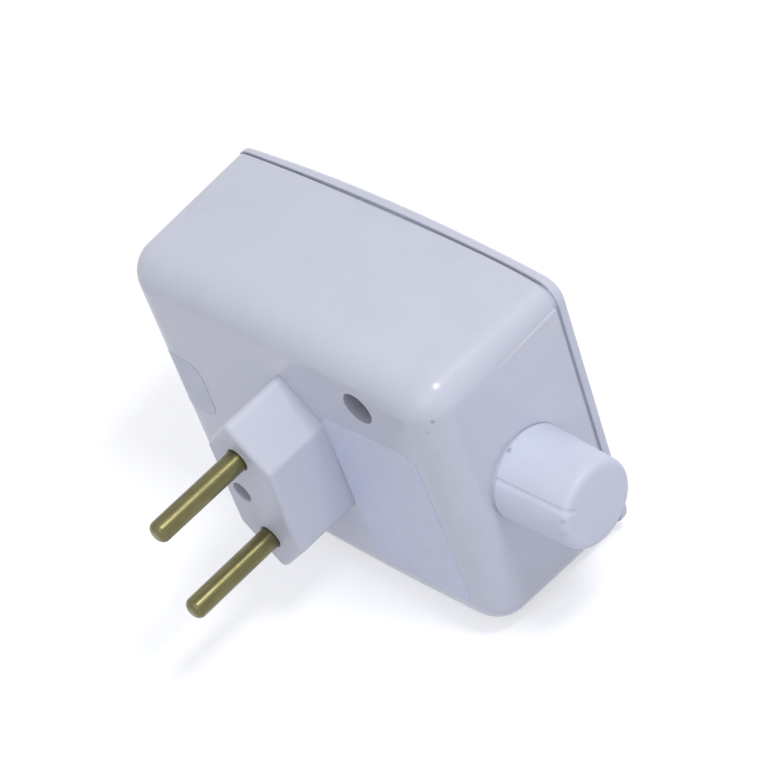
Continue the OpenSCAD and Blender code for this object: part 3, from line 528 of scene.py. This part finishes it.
def cover_front(x):
    """Depth of the cover's arched front at x: a parabola from its ends to its middle."""
    return COVER_Y + COVER_T + COVER_ARCH * (1 - (x / HALF_W) ** 2)


def cover_back():
    """Rows of the cover's back: lip, groove of the shadow gap and back edge, lowered by the sag.

    The first five rows, up to the groove's foot, follow the rim; the others follow the cover's edge.
    """
    lip_end, lip_inner = PART_Y - LIP_L, LIP_IN + LIP_T
    profile = np.array([[lip_inner, PART_Y], [lip_inner, lip_end], [LIP_IN, lip_end], [LIP_IN, PART_Y],
                        [LAND, PART_Y], [LAND, COVER_Y],
                        [EDGE_BREAK - COVER_PROUD, COVER_Y], [-COVER_PROUD, COVER_Y + EDGE_BREAK]])
    corner = np.maximum(LEAST_CORNER_R, CORNER_R - profile[:, 0])
    corner[:2], corner[2:4] = LIP_CORNER_R - LIP_T, LIP_CORNER_R
    rows = set_at(box_outline(profile[:, 0], corner), profile[:, 1])
    gap, on_rim, on_cover = rows[4:6], rows[:5], rows[5:]
    gap[..., 0] += sag(gap, LAND - END_LAND, 0)
    on_rim[..., 1] -= sag(on_rim, RIM_SAG, SIDE_SAG)
    on_cover[..., 1] -= sag(on_cover, COVER_SAG, 0)
    return rows


def front_cover():
    """The cover: its back, a straight band, a rounded edge, an arched front and the outlet's opening."""
    back = cover_back()
    t = np.linspace(0, QUARTER, 13)
    drawn = np.concatenate([COVER_EDGE_R * (1 - np.cos(t)), [COVER_EDGE_R + COVER_EDGE_FLAT]])
    drop = np.concatenate([COVER_EDGE_R * (1 - np.sin(t)), [0]])
    outline = box_outline(drawn - COVER_PROUD, CORNER_R + COVER_PROUD - drawn)
    edge = set_at(outline, cover_front(outline[..., 0]) - drop[:, None])
    hole = plug_outline(OUTLET_SKIN + OPENING_ROOM)
    hole_y = cover_front(hole[..., 0]) - OPENING_DROP[:, None]
    hole_y[-1] = PART_Y
    opening = set_at(hole, hole_y)
    grid = clear_of_plug(even_grid(*COVER_GRID), COVER_GRID_ROOM)
    sheet = fill([flat(edge[-1]), flat(opening[0])], lambda x, z: cover_front(x), grid)
    inside = fill([flat(back[0]), flat(opening[-1])],
                  lambda x, z: PART_Y - sag(np.stack([x, z], -1), RIM_SAG, SIDE_SAG))
    band = np.stack([back[-1], edge[0]])
    return make_piece("cover_shell", [strips(r) for r in (back, band, edge, opening)] + [sheet, inside])


# Plug, pins and outlet


def plug_block():
    """The six-sided plug: a rounded edge, straight sides, a flange in the box, pin holes and a blind hole."""
    t = np.linspace(0, QUARTER, 11)
    edge = -PLUG_EDGE_R * (1 - np.sin(t))
    grow = np.concatenate([[-PLUG_EDGE_R - PLUG_EDGE_FLAT], edge, [0, FLANGE_RIM, FLANGE_RIM]])
    y = np.concatenate([[0], PLUG_EDGE_R * (1 - np.cos(t)), [FLOOR_Y, FLOOR_Y, FLANGE_Y]])
    body = set_at(plug_outline(grow), y)
    stem_r = STEM_R + STEM_ROOM
    seat = soften([[PIN_R + PIN_RING, 0], [PIN_R + PIN_MOUTH_ROOM, 0], [PIN_R + PIN_SEAT_ROOM, PIN_SEAT],
                   [stem_r, PIN_SEAT], [stem_r, FLANGE_Y]], PIN_SEAT_ROUNDS)
    blind = soften([[EARTH_R + EARTH_RING, 0], [EARTH_R, 0], [EARTH_R, EARTH_L], [0, EARTH_L]], EARTH_ROUND)
    holes = [circle(p, seat[0, 0]) for p in PINS] + [circle(EARTH, blind[0, 0])]
    front = fill([flat(body[0])] + holes, 0.0)
    back = fill([flat(body[-1])] + [circle(p, stem_r) for p in PINS], FLANGE_Y)
    patches = [strips(body), front, back, strips(lathe_y(blind, EARTH))]
    return make_piece("plug_body", patches + [strips(lathe_y(seat, p)) for p in PINS])


def plug_pin(name, z):
    """A turned pin: domed tip, straight side, thinner stem, collar, and the folded tag for its lead."""
    a = np.linspace(0, QUARTER, 14)
    tip_r, tip_y = PIN_R - PIN_TIP_R + PIN_TIP_R * np.sin(a), PIN_TIP_R - PIN_L - PIN_TIP_R * np.cos(a)
    tip = np.stack([tip_r, tip_y], -1)
    rings = [[PIN_R, y] for y in PIN_RINGS_Y]
    inner_end = [[PIN_R, PIN_SINK], [STEM_R, PIN_SINK], [STEM_R, COLLAR_Y], [COLLAR_R, COLLAR_Y],
                 [COLLAR_R, FLANGE_Y], [0, FLANGE_Y]]
    profile = np.concatenate([[[0, -PIN_L - PIN_CROWN]], tip, rings, inner_end])
    inner = TAG_L - TAG_T
    bend = np.array([[-TAG_BACK, 0], [TAG_L, 0], [TAG_L, TAG_RISE], [inner, TAG_RISE], [inner, TAG_T],
                     [-TAG_BACK, TAG_T]])
    tag = np.stack([np.insert(bend + [0, FLANGE_Y], 2, z + w, 1) for w in (-TAG_HALF_W, TAG_HALF_W)])
    points, sides = strips(tag)
    ends = np.array([[0, 1, 4, 5], [1, 2, 3, 4], [6, 7, 10, 11], [7, 8, 9, 10]])
    return make_piece(name, [strips(lathe_y(profile, (0, z), 72)), (points, np.concatenate([sides, ends]))])


def outlet_block():
    """The outlet: a rim round a six-sided recess, rounded edges, and a floor with three holes.

    Its section goes from the back over the rim and down into the recess.
    """
    (rim, rim_mid), (mouth, mouth_mid), (corner, corner_mid) = RIM_ROUND, MOUTH_ROUND, CORNER_ROUND
    section = np.array([
        [OUTLET_SKIN, OUTLET_BACK_Y],
        [OUTLET_SKIN, OUTLET_FRONT_Y - rim],
        [OUTLET_SKIN - rim_mid, OUTLET_FRONT_Y - rim_mid],
        [OUTLET_SKIN - rim, OUTLET_FRONT_Y],
        [OUTLET_ROOM + mouth, OUTLET_FRONT_Y],
        [OUTLET_ROOM + mouth_mid, OUTLET_FRONT_Y - mouth_mid],
        [OUTLET_ROOM, OUTLET_FRONT_Y - mouth],
        [OUTLET_ROOM, OUTLET_FLOOR_Y + corner],
        [OUTLET_ROOM - corner_mid, OUTLET_FLOOR_Y + corner_mid],
        [OUTLET_ROOM - corner, OUTLET_FLOOR_Y],
        [OUTLET_ROOM - 2 * corner, OUTLET_FLOOR_Y],
    ])
    body = set_at(plug_outline(section[:, 0]), section[:, 1])
    holes = np.vstack([PINS, EARTH])
    bore = soften([[OUTLET_HOLE_R + OUTLET_HOLE_RING, OUTLET_FLOOR_Y], [OUTLET_HOLE_R, OUTLET_FLOOR_Y],
                   [OUTLET_HOLE_R, OUTLET_BACK_Y]], OUTLET_HOLE_ROUND)
    floor = fill([flat(body[-1])] + [circle(p, bore[0, 0]) for p in holes], OUTLET_FLOOR_Y)
    back = fill([flat(body[0])] + [circle(p, OUTLET_HOLE_R) for p in holes], OUTLET_BACK_Y)
    bores = [strips(lathe_y(bore, p)) for p in holes]
    return make_piece("outlet_socket", [strips(body), floor, back] + bores)


# The knob


def groove(at, r, turn):
    """Depth of the pointer groove on a grid: at along the section, r from the axis, turn from the pointer.

    It depends on the distance from the pointer's plane, with a steep upper wall and a longer lower one, and
    it fades out towards the foot and on the face. Each of these is a smooth step, 3 s^2 - 2 s^3.
    """
    off = r * np.sin(turn)
    wall = np.where(off > 0, (UPPER_EDGE - off) / UPPER_RUN, (LOWER_EDGE + off) / LOWER_RUN)
    rise = np.clip(wall, 0, 1)
    reach = np.clip((r - GROOVE_END_R) / GROOVE_END_RUN, 0, 1) * np.clip(at / GROOVE_FOOT_RUN, 0, 1)
    return GROOVE_DEPTH * rise ** 2 * (3 - 2 * rise) * reach ** 2 * (3 - 2 * reach) * (np.cos(turn) > 0)


def knob(row_n=120, turn_n=320):
    """The knob: a tapered side and a rounded edge, turned round, with a pointer groove and a stepped bore.

    Turns are packed close round the pointer. The groove lowers the side towards the axis, and the front edge
    and the face along their own normal.
    """
    foot = [KNOB_FOOT_R - FOOT_FLAT, KNOB_FOOT_X]
    outer = soften([foot, [KNOB_FOOT_R, KNOB_FOOT_X], [KNOB_FRONT_R, KNOB_L - KNOB_FACE_DROP],
                    [0, KNOB_L + KNOB_CROWN]], [FOOT_ROUND, KNOB_EDGE_R], 14)
    step = np.linalg.norm(np.diff(outer, axis=0), axis=1)
    along = np.concatenate([[0], np.cumsum(step)])
    at = np.unique(np.concatenate([along, np.linspace(0, along[-1], row_n)]))
    side = np.stack([np.interp(at, along, outer[:, 0]), np.interp(at, along, outer[:, 1])], -1)
    tangent = np.gradient(side, at, axis=0)
    ahead = np.clip(-tangent[:, 0] / np.linalg.norm(tangent, axis=1), 0, 1)[:, None]
    even = np.linspace(-np.pi, np.pi, turn_n, endpoint=False)
    turn = even - TURN_CROWDING * np.sin(even)
    depth = groove(at[:, None], side[:, :1], turn)
    r = side[:, :1] - depth * np.sqrt(1 - ahead ** 2)
    x = KNOB_X + side[:, 1:] - depth * ahead
    a = POINTER_TURN - turn
    skin = np.stack([x, KNOB_Y + r * np.cos(a), r * np.sin(a)], -1)
    bore = np.array([foot, [NUT_ROOM_R, KNOB_FOOT_X], [NUT_ROOM_R, NUT_ROOM_L], [POCKET_R, NUT_ROOM_L],
                     [POCKET_R, SHAFT_HOLE_L], [HUB_R, SHAFT_HOLE_L], [HUB_R, NUT_ROOM_L],
                     [SHAFT_HOLE_R, NUT_ROOM_L], [SHAFT_HOLE_R, SHAFT_HOLE_L], [0, SHAFT_HOLE_L]])
    b, xb = bore[:, :1], KNOB_X + bore[:, 1:]
    inside = np.stack([xb + 0 * a, KNOB_Y + b * np.cos(a), b * np.sin(a)], -1)
    return make_piece("knob_shell", [strips(skin), strips(inside)])


# Bare labels


def rear_depth(x, z):
    """Depth of the housing's rear away from its corners: flat, then an arc of the rear edge's radius."""
    start = (BOX_D - REAR_R) * WALL_DRAFT
    side = BOW_C + np.sqrt(BOW_R ** 2 - x ** 2) - np.abs(z)
    inward = np.minimum(HALF_W - np.abs(x), side) - start
    c = np.clip(1 - inward / REAR_R, 0, 1)
    return REAR_Y + REAR_R * (1 - np.sqrt(1 - c ** 2))


def round_rectangle(half, corner, arc_n=9, side_n=12):
    """A loop about the origin: a rectangle with arcs of radius corner, each of its lines cut in side_n."""
    core = (half - corner) * np.array([[1, 1], [-1, 1], [-1, -1], [1, -1]])
    a = np.arange(4)[:, None] * np.pi / 2 + np.linspace(0, QUARTER, arc_n)
    loop = (core[:, None] + corner * np.stack([np.cos(a), np.sin(a)], -1)).reshape(-1, 2)
    following = np.roll(loop, -1, 0)
    s = np.linspace(0, 1, side_n + 1)[:-1, None, None]
    loop = (loop * (1 - s) + following * s).transpose(1, 0, 2).reshape(-1, 2)
    return loop[np.linalg.norm(loop - np.roll(loop, 1, 0), axis=1) > LEAST_STEP]


def label(name, low, high, lean, corner):
    """A thin label with round corners, turned by an angle, laid on the housing's rear, with a lifted edge."""
    half = (np.array(high) - np.array(low)) / 2
    centre = (np.array(high) + np.array(low)) / 2
    loop = round_rectangle(half, corner)
    grid = even_grid(half - LABEL_MARGIN, (2 * half).astype(int))
    past_core = np.maximum(np.abs(grid) - (half - corner), 0)
    grid = grid[np.linalg.norm(past_core, axis=1) < corner - LABEL_CORNER_MARGIN]
    turn = np.array([[math.cos(lean), math.sin(lean)], [-math.sin(lean), math.cos(lean)]])
    outer, inner, grid = (p @ turn + centre for p in (loop, loop * ((half - LABEL_EDGE) / half), grid))
    section = np.stack([rear_depth(*outer.T) + LABEL_SINK, rear_depth(*outer.T) - LABEL_T - LABEL_CURL,
                        rear_depth(*inner.T) - LABEL_T])
    rim = set_at(np.stack([outer, outer, inner]), section)
    sheet = fill([inner], lambda x, z: rear_depth(x, z) - LABEL_T, grid)
    under = fill([outer], lambda x, z: rear_depth(x, z) + LABEL_SINK, grid)
    return make_piece(name, [strips(rim), sheet, under], LABEL_SHARP)


# Finishes


def add_node(tree, kind, settings=(), **sockets):
    """A new node with settings; its sockets, by name or as i and a number, are linked or set to a value."""
    node = tree.nodes.new(kind)
    for key, value in dict(settings).items():
        setattr(node, key, value)
    for key, value in sockets.items():
        by_number = key[0] == "i" and key[1:].isdigit()
        socket = node.inputs[int(key[1:]) if by_number else key.replace("_", " ")]
        if isinstance(value, bpy.types.NodeSocket):
            tree.links.new(value, socket)
        else:
            socket.default_value = value
    return node


def largest(tree, values):
    """The largest of some values."""
    larger = {"operation": "MAXIMUM"}
    return reduce(lambda a, b: add_node(tree, "ShaderNodeMath", larger, i0=a, i1=b).outputs[0], values)


class Finish:
    """A material of shader nodes in the object's own coordinates, with lengths in millimetres."""

    def __init__(self, name):
        self.material = bpy.data.materials.new(name)
        self.material.use_nodes = True
        self.tree = self.material.node_tree
        self.tree.nodes.clear()
        self.place = self.add("ShaderNodeTexCoord").outputs["Object"]

    def add(self, kind, settings=(), **sockets):
        """A new node of this material."""
        return add_node(self.tree, kind, settings, **sockets)

    def scaled(self, *sizes):
        """The place, measured in the given sizes along X, Y and Z."""
        scale = [1 / (s * MM) for s in sizes]
        return self.add("ShaderNodeMapping", Vector=self.place, Scale=scale).outputs[0]

    def noise(self, size, detail=3.0, stretch=(1, 1, 1)):
        """Noise whose features measure about size, drawn out along an axis by stretch."""
        spot = self.scaled(*(size * s for s in stretch))
        cloud = self.add("ShaderNodeTexNoise", Vector=spot, Scale=1.0, Detail=detail, Roughness=0.55)
        return cloud.outputs[0]

    def fuzz(self, size):
        """A noise of vectors about zero, with features of about size."""
        cloud = self.add("ShaderNodeTexNoise", Vector=self.scaled(size, size, size), Scale=1.0, Detail=2.0)
        return self.add("ShaderNodeVectorMath", {"operation": "SUBTRACT"}, i0=cloud.outputs["Color"],
                        i1=(0.5, 0.5, 0.5)).outputs[0]

    def ramp(self, value, low, high, to_low=0.0, to_high=1.0):
        """Value from low to high, spread from to_low to to_high."""
        return self.add("ShaderNodeMapRange", i0=value, i1=low, i2=high, i3=to_low, i4=to_high).outputs[0]

    def spread(self, noise, to_low=0.0, to_high=1.0):
        """The middle of a noise, where most of its values lie, spread from to_low to to_high."""
        return self.ramp(noise, 0.3, 0.7, to_low, to_high)

    def times(self, a, b):
        """Product of two values."""
        return self.add("ShaderNodeMath", {"operation": "MULTIPLY"}, i0=a, i1=b).outputs[0]

    def mix(self, share, a, b):
        """Colour a to colour b by share."""
        return self.add("ShaderNodeMix", {"data_type": "RGBA"}, i0=share, i6=a, i7=b).outputs[2]

    def bump(self, height, distance, strength, under=None):
        """Bump of a height, over another one."""
        links = {"Normal": under} if under is not None else {}
        return self.add("ShaderNodeBump", Height=height, Distance=distance * MM, Strength=strength,
                        **links).outputs[0]

    def specks(self, cell, size, share):
        """Rare dark specks: points of a cell pattern, kept in a share of its cells."""
        cells = self.add("ShaderNodeTexVoronoi", Vector=self.scaled(cell, cell, cell), Scale=1.0)
        dot = self.ramp(cells.outputs["Distance"], size / cell, 0.5 * size / cell)
        pick = self.add("ShaderNodeSeparateColor", Color=cells.outputs["Color"]).outputs[0]
        return self.times(dot, self.ramp(pick, 1 - share, 1 - share + 0.01))

    def marks(self, spots, tooth=0.3, depth=0.5):
        """Small marks, or a patch of painted shade, at fixed places, with ragged edges: each is a point, a
        radius and a strength.
        """
        ragged = self.add("ShaderNodeVectorMath", {"operation": "MULTIPLY_ADD"}, i0=self.fuzz(tooth),
                          i1=[depth * MM] * 3, i2=self.place).outputs[0]
        dots = []
        for x, y, z, r, strength in spots:
            away = self.add("ShaderNodeVectorMath", {"operation": "DISTANCE"}, i0=ragged,
                            i1=(x * MM, y * MM, z * MM))
            dots.append(self.ramp(away.outputs["Value"], r * MM, 0.0, 0.0, strength))
        return largest(self.tree, dots)

    def seams(self, reach, open_at, deep_at):
        """How enclosed a point is within reach: 0 where more than open_at is free, 1 at deep_at; it masks
        painted shade in hollows.
        """
        near = self.add("ShaderNodeAmbientOcclusion", {"samples": 6}, Distance=reach * MM).outputs["AO"]
        return self.ramp(near, open_at, deep_at)

    def finish(self, **sockets):
        """The material, with its surface made from the given sockets."""
        surface = self.add("ShaderNodeBsdfPrincipled", **sockets).outputs[0]
        self.add("ShaderNodeOutputMaterial", Surface=surface)
        return self.material


# Colours of wear on plastic, brass and paper, and of painted shade in creases, seams, the screw recess and at
# the pins' root
SMUDGE, PAPER_SMUDGE = (0.42, 0.43, 0.49, 1), (0.45, 0.46, 0.5, 1)
# painted shade: a light tone for tight creases and a greenish grey for deeper seams and recesses
CREASE_SHADE, SEAM_SHADE = (0.30, 0.30, 0.33, 1), (0.17, 0.185, 0.155, 1)
# the dent tone also paints shade inside the screw recess
SPECK, DENT_AND_RECESS_SHADE = (0.12, 0.12, 0.14, 1), (0.145, 0.16, 0.16, 1)
BRIGHT_BRASS, DULL_BRASS = (0.2, 0.184, 0.08, 1), (0.146, 0.134, 0.057, 1)
# the third colour below is painted shade at the pins' root
TARNISH, BRASS_SPECK, PIN_ROOT_SHADE = (0.09, 0.08, 0.034, 1), (0.06, 0.05, 0.03, 1), (0.07, 0.055, 0.03, 1)

# Fixed marks: x, y, z, radius and strength
SHELL_MARKS = [
    (35.04, 15.26, 22.45, 0.5, 0.7),
    (34.1, 14.42, 20.23, 0.5, 0.2),
    (34.21, 14.5, 15.16, 0.5, 0.14),
    (34.3, 14.57, -0.05, 0.5, 0.14),
    # painted shade inside the visible screw recess, from its rim inwards
    (19.0, 16.5, 19.0, 4.6, 1.3),
]
PLUG_MARKS = [
    (3.4, 0.0, 6.2, 0.4, 0.15),
    (5.1, 7.0, 12.6, 0.5, 0.12),
]
KNOB_MARKS = [
    (51.39, 21.12, 2.75, 0.7, 0.34),
    (51.51, 20.69, 0.41, 0.7, 0.14),
    (37.6, 25.4, 7.95, 0.7, 0.7),
    (41.64, 24.89, 7.52, 0.9, 0.045),
    (44.0, 25.94, 7.79, 0.7, 0.045),
    (49.18, 27.81, 7.87, 1.0, 0.04),
]


def moulded(name, colour, shade, rough, grain, speck, spots):
    """Moulded white plastic: faint mottling, fine grain, smudges, rare specks, marks, and painted shade in
    creases, seams and the screw recess.
    """
    f = Finish(name)
    base = f.mix(f.spread(f.noise(14.0)), colour, shade)
    smudge = f.ramp(f.noise(9.0, 4.0), 0.55, 0.75)
    base = f.mix(f.times(smudge, 0.10), base, SMUDGE)
    # painted shade: tight creases darkened where little light reaches
    base = f.mix(f.times(f.seams(1.2, 0.5, 0.1), 0.12), base, CREASE_SHADE)
    # painted shade: the shadow gap, the recesses and the gap round the knob's foot darkened
    base = f.mix(f.times(f.seams(7.0, 0.40, 0.10), 0.38), base, SEAM_SHADE)
    base = f.mix(f.times(f.specks(5.0, 0.16, speck), 0.7), base, SPECK)
    # dents and dark marks, and painted shade in the screw recess
    dent_and_recess_shade = f.marks(spots)
    base = f.mix(dent_and_recess_shade, base, DENT_AND_RECESS_SHADE)
    roughness = f.spread(f.noise(3.5, 5.0), *rough)
    wave = f.bump(f.noise(11.0, 2.0), 0.25, 0.08)
    grained = f.bump(f.noise(0.6, 3.0), 0.03, grain, wave)
    pitted = f.bump(f.times(dent_and_recess_shade, -1.0), 0.1, 0.5, grained)
    return f.finish(Base_Color=base, Roughness=roughness, Normal=pitted, IOR=1.5)


def turned_brass(name):
    """Turned brass rod: fine tool rings, faint lengthwise marks, patches of tarnish, and painted shade that
    makes it darker at the plug.
    """
    f = Finish(name)
    streak = f.noise(0.3, 3.0, (1, 40, 1))
    tarnish = f.ramp(f.noise(2.6, 5.0, (1, 2.2, 1)), 0.42, 0.72)
    base = f.mix(f.spread(streak), BRIGHT_BRASS, DULL_BRASS)
    base = f.mix(f.times(tarnish, 0.5), base, TARNISH)
    base = f.mix(f.times(f.specks(2.2, 0.12, 0.16), 0.6), base, BRASS_SPECK)
    # painted shade: the pin darkened where the plug closes round it
    base = f.mix(f.times(f.seams(1.1, 0.7, 0.2), 0.4), base, PIN_ROOT_SHADE)
    roughness = f.ramp(tarnish, 0.0, 1.0, 0.33, 0.4)
    marks = f.bump(streak, 0.02, 0.06)
    turned = f.bump(f.noise(0.09, 2.0, (60, 1, 60)), 0.03, 0.6, marks)
    return f.finish(Base_Color=base, Roughness=roughness, Normal=turned, Metallic=1.0, Coat_Weight=0.35,
                    Coat_Roughness=0.3)


def label_paper(name, colour, shade):
    """Coated label stock: faint fibres, a satin face and a few smudges."""
    f = Finish(name)
    fibre = f.noise(0.5, 5.0, (1, 1, 4))
    base = f.mix(f.spread(fibre), colour, shade)
    base = f.mix(f.times(f.ramp(f.noise(6.0, 4.0), 0.55, 0.8), 0.12), base, PAPER_SMUDGE)
    roughness = f.spread(f.noise(4.0), 0.42, 0.55)
    return f.finish(Base_Color=base, Roughness=roughness, Normal=f.bump(fibre, 0.02, 0.12), IOR=1.46)


def plain(name, colour, shade, rough, size, metallic=0.0, stretch=(1, 1, 1)):
    """Finish of an inner piece: two tones in a noise of the given size, with matching roughness and bump."""
    f = Finish(name)
    tone = f.noise(size, 4.0, stretch)
    base = f.mix(f.spread(tone), colour, shade)
    roughness = f.spread(tone, rough - 0.06, rough + 0.06)
    return f.finish(Base_Color=base, Roughness=roughness, Normal=f.bump(tone, 0.03, 0.15), Metallic=metallic)


def wear(piece, material, body):
    """Gives a new piece its finish and the body it rides on."""
    piece.data.materials.clear()
    piece.data.materials.append(material)
    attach(piece, body)
    return piece


shell_white = moulded("shell_white", (0.66, 0.685, 0.81, 1), (0.64, 0.665, 0.79, 1), (0.21, 0.268),
                      0.018, 0.05, SHELL_MARKS)
insert_white = moulded("insert_white", (0.65, 0.675, 0.795, 1), (0.63, 0.655, 0.775, 1), (0.34, 0.46),
                       0.02, 0.10, PLUG_MARKS)
knob_white = moulded("knob_white", (0.70, 0.74, 0.89, 1), (0.68, 0.72, 0.87, 1), (0.44, 0.56),
                     0.05, 0.14, KNOB_MARKS)
brass = turned_brass("drawn_brass")
paper = label_paper("label_paper", (0.71, 0.755, 0.93, 1), (0.68, 0.725, 0.90, 1))
thin_paper = label_paper("thin_label_paper", (0.67, 0.70, 0.845, 1), (0.65, 0.68, 0.825, 1))

# Finish of each material slot in the record
SLOT_FINISH = {
    "shell": shell_white,
    "insert": insert_white,
    "knob": knob_white,
    "brass": brass,
    "steel": plain("zinc_steel", (0.52, 0.53, 0.55, 1), (0.43, 0.44, 0.46, 1), 0.34, 0.6, 1.0),
    "aluminium": plain("mill_aluminium", (0.62, 0.63, 0.65, 1), (0.52, 0.53, 0.55, 1), 0.36, 0.5, 1.0,
                       (1, 8, 1)),
    "board": plain("phenolic_board", (0.42, 0.26, 0.10, 1), (0.34, 0.20, 0.07, 1), 0.55, 1.2, 0.0, (1, 1, 5)),
    "dark_plastic": plain("black_moulding", (0.018, 0.018, 0.02, 1), (0.028, 0.028, 0.03, 1), 0.5, 0.4),
    "copper": plain("enamelled_copper", (0.48, 0.18, 0.06, 1), (0.36, 0.12, 0.04, 1), 0.3, 0.5, 1.0,
                    (6, 1, 6)),
    "film_yellow": plain("yellow_case", (0.55, 0.38, 0.05, 1), (0.48, 0.33, 0.04, 1), 0.4, 0.8),
    "film_blue": plain("blue_case", (0.04, 0.11, 0.32, 1), (0.03, 0.09, 0.27, 1), 0.35, 0.8),
    "resistor_tan": plain("tan_lacquer", (0.60, 0.44, 0.22, 1), (0.54, 0.39, 0.19, 1), 0.45, 0.5),
    "wire_black": plain("black_vinyl", (0.02, 0.02, 0.022, 1), (0.03, 0.03, 0.032, 1), 0.5, 0.7),
    "wire_red": plain("red_vinyl", (0.34, 0.012, 0.01, 1), (0.28, 0.01, 0.008, 1), 0.5, 0.7),
    "wire_blue": plain("blue_vinyl", (0.05, 0.17, 0.52, 1), (0.04, 0.14, 0.45, 1), 0.5, 0.7),
}
for row in frame["record"]["subparts"]:
    mesh = frame["nodes"][row["node"]].data
    mesh.materials.clear()
    mesh.materials.append(SLOT_FINISH[row["material_slot"]])

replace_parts(wear(rear_housing(), shell_white, "box"), "rear_housing")
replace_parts(wear(front_cover(), shell_white, "box"), "front_cover")
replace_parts(wear(plug_block(), insert_white, "box"), "plug_block")
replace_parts(wear(outlet_block(), insert_white, "box"), "outlet_block")
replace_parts(wear(plug_pin("pin_live", HALF_PITCH), brass, "box"), "plug_pin_live")
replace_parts(wear(plug_pin("pin_neutral", -HALF_PITCH), brass, "box"), "plug_pin_neutral")
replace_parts(wear(knob(), knob_white, "dial"), "knob")
wear(label("rating_label", (8.2, -22.0), (30.4, 12.4), math.radians(3.0), 2.6), paper, "box")
wear(label("small_label", (-35.2, -6.0), (-24.9, 7.2), 0.0, 3.4), thin_paper, "box")


# Studio

ROOM_LIGHT = 0.49  # of the white room on the object
FLOOR_GLOW = 0.55  # of the floor where it is seen
FLOOR_GAP = 0.2
FLOOR_REACH = 3000.0
FLOOR_PAINT, FLOOR_SHADE = (0.645, 0.655, 0.70, 1), (0.625, 0.635, 0.68, 1)

# Lamps: place, point that it faces, direction of its length, length and width, and power in watts
LAMPS = {
    "key": ((317, 78, 618), (5, 25, 0), (0.2, 0.95, -0.2), (170, 125), 1.65),
    "fill": ((240, -440, 420), (5, 25, 0), (1, 0, 0), (520, 520), 0.55),
    "back": ((-260, 580, 60), (0, 30, 0), (1, 0, 0), (600, 150), 0.5),
}

# Camera: its lens, its place and the directions of its picture
SENSOR, LENS = 36.0, 128.98
EYE = (292.593, -153.888, 311.308)
RIGHT = (0.6985, 0.6675, -0.2579)
DOWN = (0.3446, -0.6296, -0.6963)
AHEAD = (-0.6272, 0.3975, -0.6698)


def lamp(name, at, towards, along, size, power):
    """A soft lamp, turned towards a point, with its length in the direction along."""
    data = bpy.data.lights.new(name, "AREA")
    data.shape, data.energy = "RECTANGLE", power
    data.size, data.size_y = size[0] * MM, size[1] * MM
    light = bpy.data.objects.new(name, data)
    bpy.context.scene.collection.objects.link(light)
    back = (Vector(at) - Vector(towards)).normalized()
    up = back.cross(Vector(along)).normalized()
    turn = Matrix((up.cross(back), up, back)).transposed()
    light.matrix_world = Matrix.Translation(Vector(at) * MM) @ turn.to_4x4()


def seen_directly(tree):
    """1 for rays that show the background itself: from the camera, a mirror or a glass."""
    path = add_node(tree, "ShaderNodeLightPath").outputs
    return largest(tree, [path["Is Camera Ray"], path["Is Glossy Ray"], path["Is Transmission Ray"]])


def white_room():
    """Even light from all round, at the room's level, from a background that shows white."""
    world = bpy.data.worlds.new("room")
    bpy.context.scene.world = world
    world.use_nodes = True
    tree = world.node_tree
    level = add_node(tree, "ShaderNodeMapRange", Value=seen_directly(tree), To_Min=ROOM_LIGHT, To_Max=1.0)
    back = tree.nodes["Background"]
    back.inputs["Color"].default_value = (1, 1, 1, 1)
    tree.links.new(level.outputs[0], back.inputs["Strength"])


def pale_floor(floor_z):
    """A pale square floor, which shows white but keeps the shadow."""
    f = Finish("pale_floor")
    paint = f.mix(f.spread(f.noise(60.0)), FLOOR_PAINT, FLOOR_SHADE)
    matt = f.add("ShaderNodeBsdfDiffuse", Color=paint).outputs[0]
    glow = f.add("ShaderNodeEmission", Strength=f.times(seen_directly(f.tree), FLOOR_GLOW)).outputs[0]
    both = f.add("ShaderNodeAddShader", i0=matt, i1=glow).outputs[0]
    f.add("ShaderNodeOutputMaterial", Surface=both)
    square = np.array([[-1, -1, 0], [1, -1, 0], [1, 1, 0], [-1, 1, 0]])
    corners = FLOOR_REACH * MM * square + [0, 0, floor_z]
    mesh = bpy.data.meshes.new("studio_floor")
    mesh.from_pydata(corners.tolist(), [], [(0, 1, 2, 3)])
    mesh.materials.append(f.material)
    floor = bpy.data.objects.new("studio_floor", mesh)
    bpy.context.scene.collection.objects.link(floor)


def camera():
    """The photograph's view: a long lens, from above and in front of the knob's end, tilted over."""
    data = bpy.data.cameras.new("view")
    data.sensor_width, data.lens = SENSOR, LENS
    data.clip_start, data.clip_end = 0.01, 20.0
    turn = Matrix((Vector(RIGHT), -Vector(DOWN), -Vector(AHEAD))).transposed()
    view = bpy.data.objects.new("view", data)
    view.matrix_world = Matrix.Translation(Vector(EYE) * MM) @ turn.to_4x4()
    bpy.context.scene.collection.objects.link(view)
    bpy.context.scene.camera = view


camera()
white_room()
pale_floor(cad_box[0].z - FLOOR_GAP * MM)
for lamp_name, settings in LAMPS.items():
    lamp(lamp_name, *settings)
bpy.context.scene.view_settings.view_transform = "Standard"
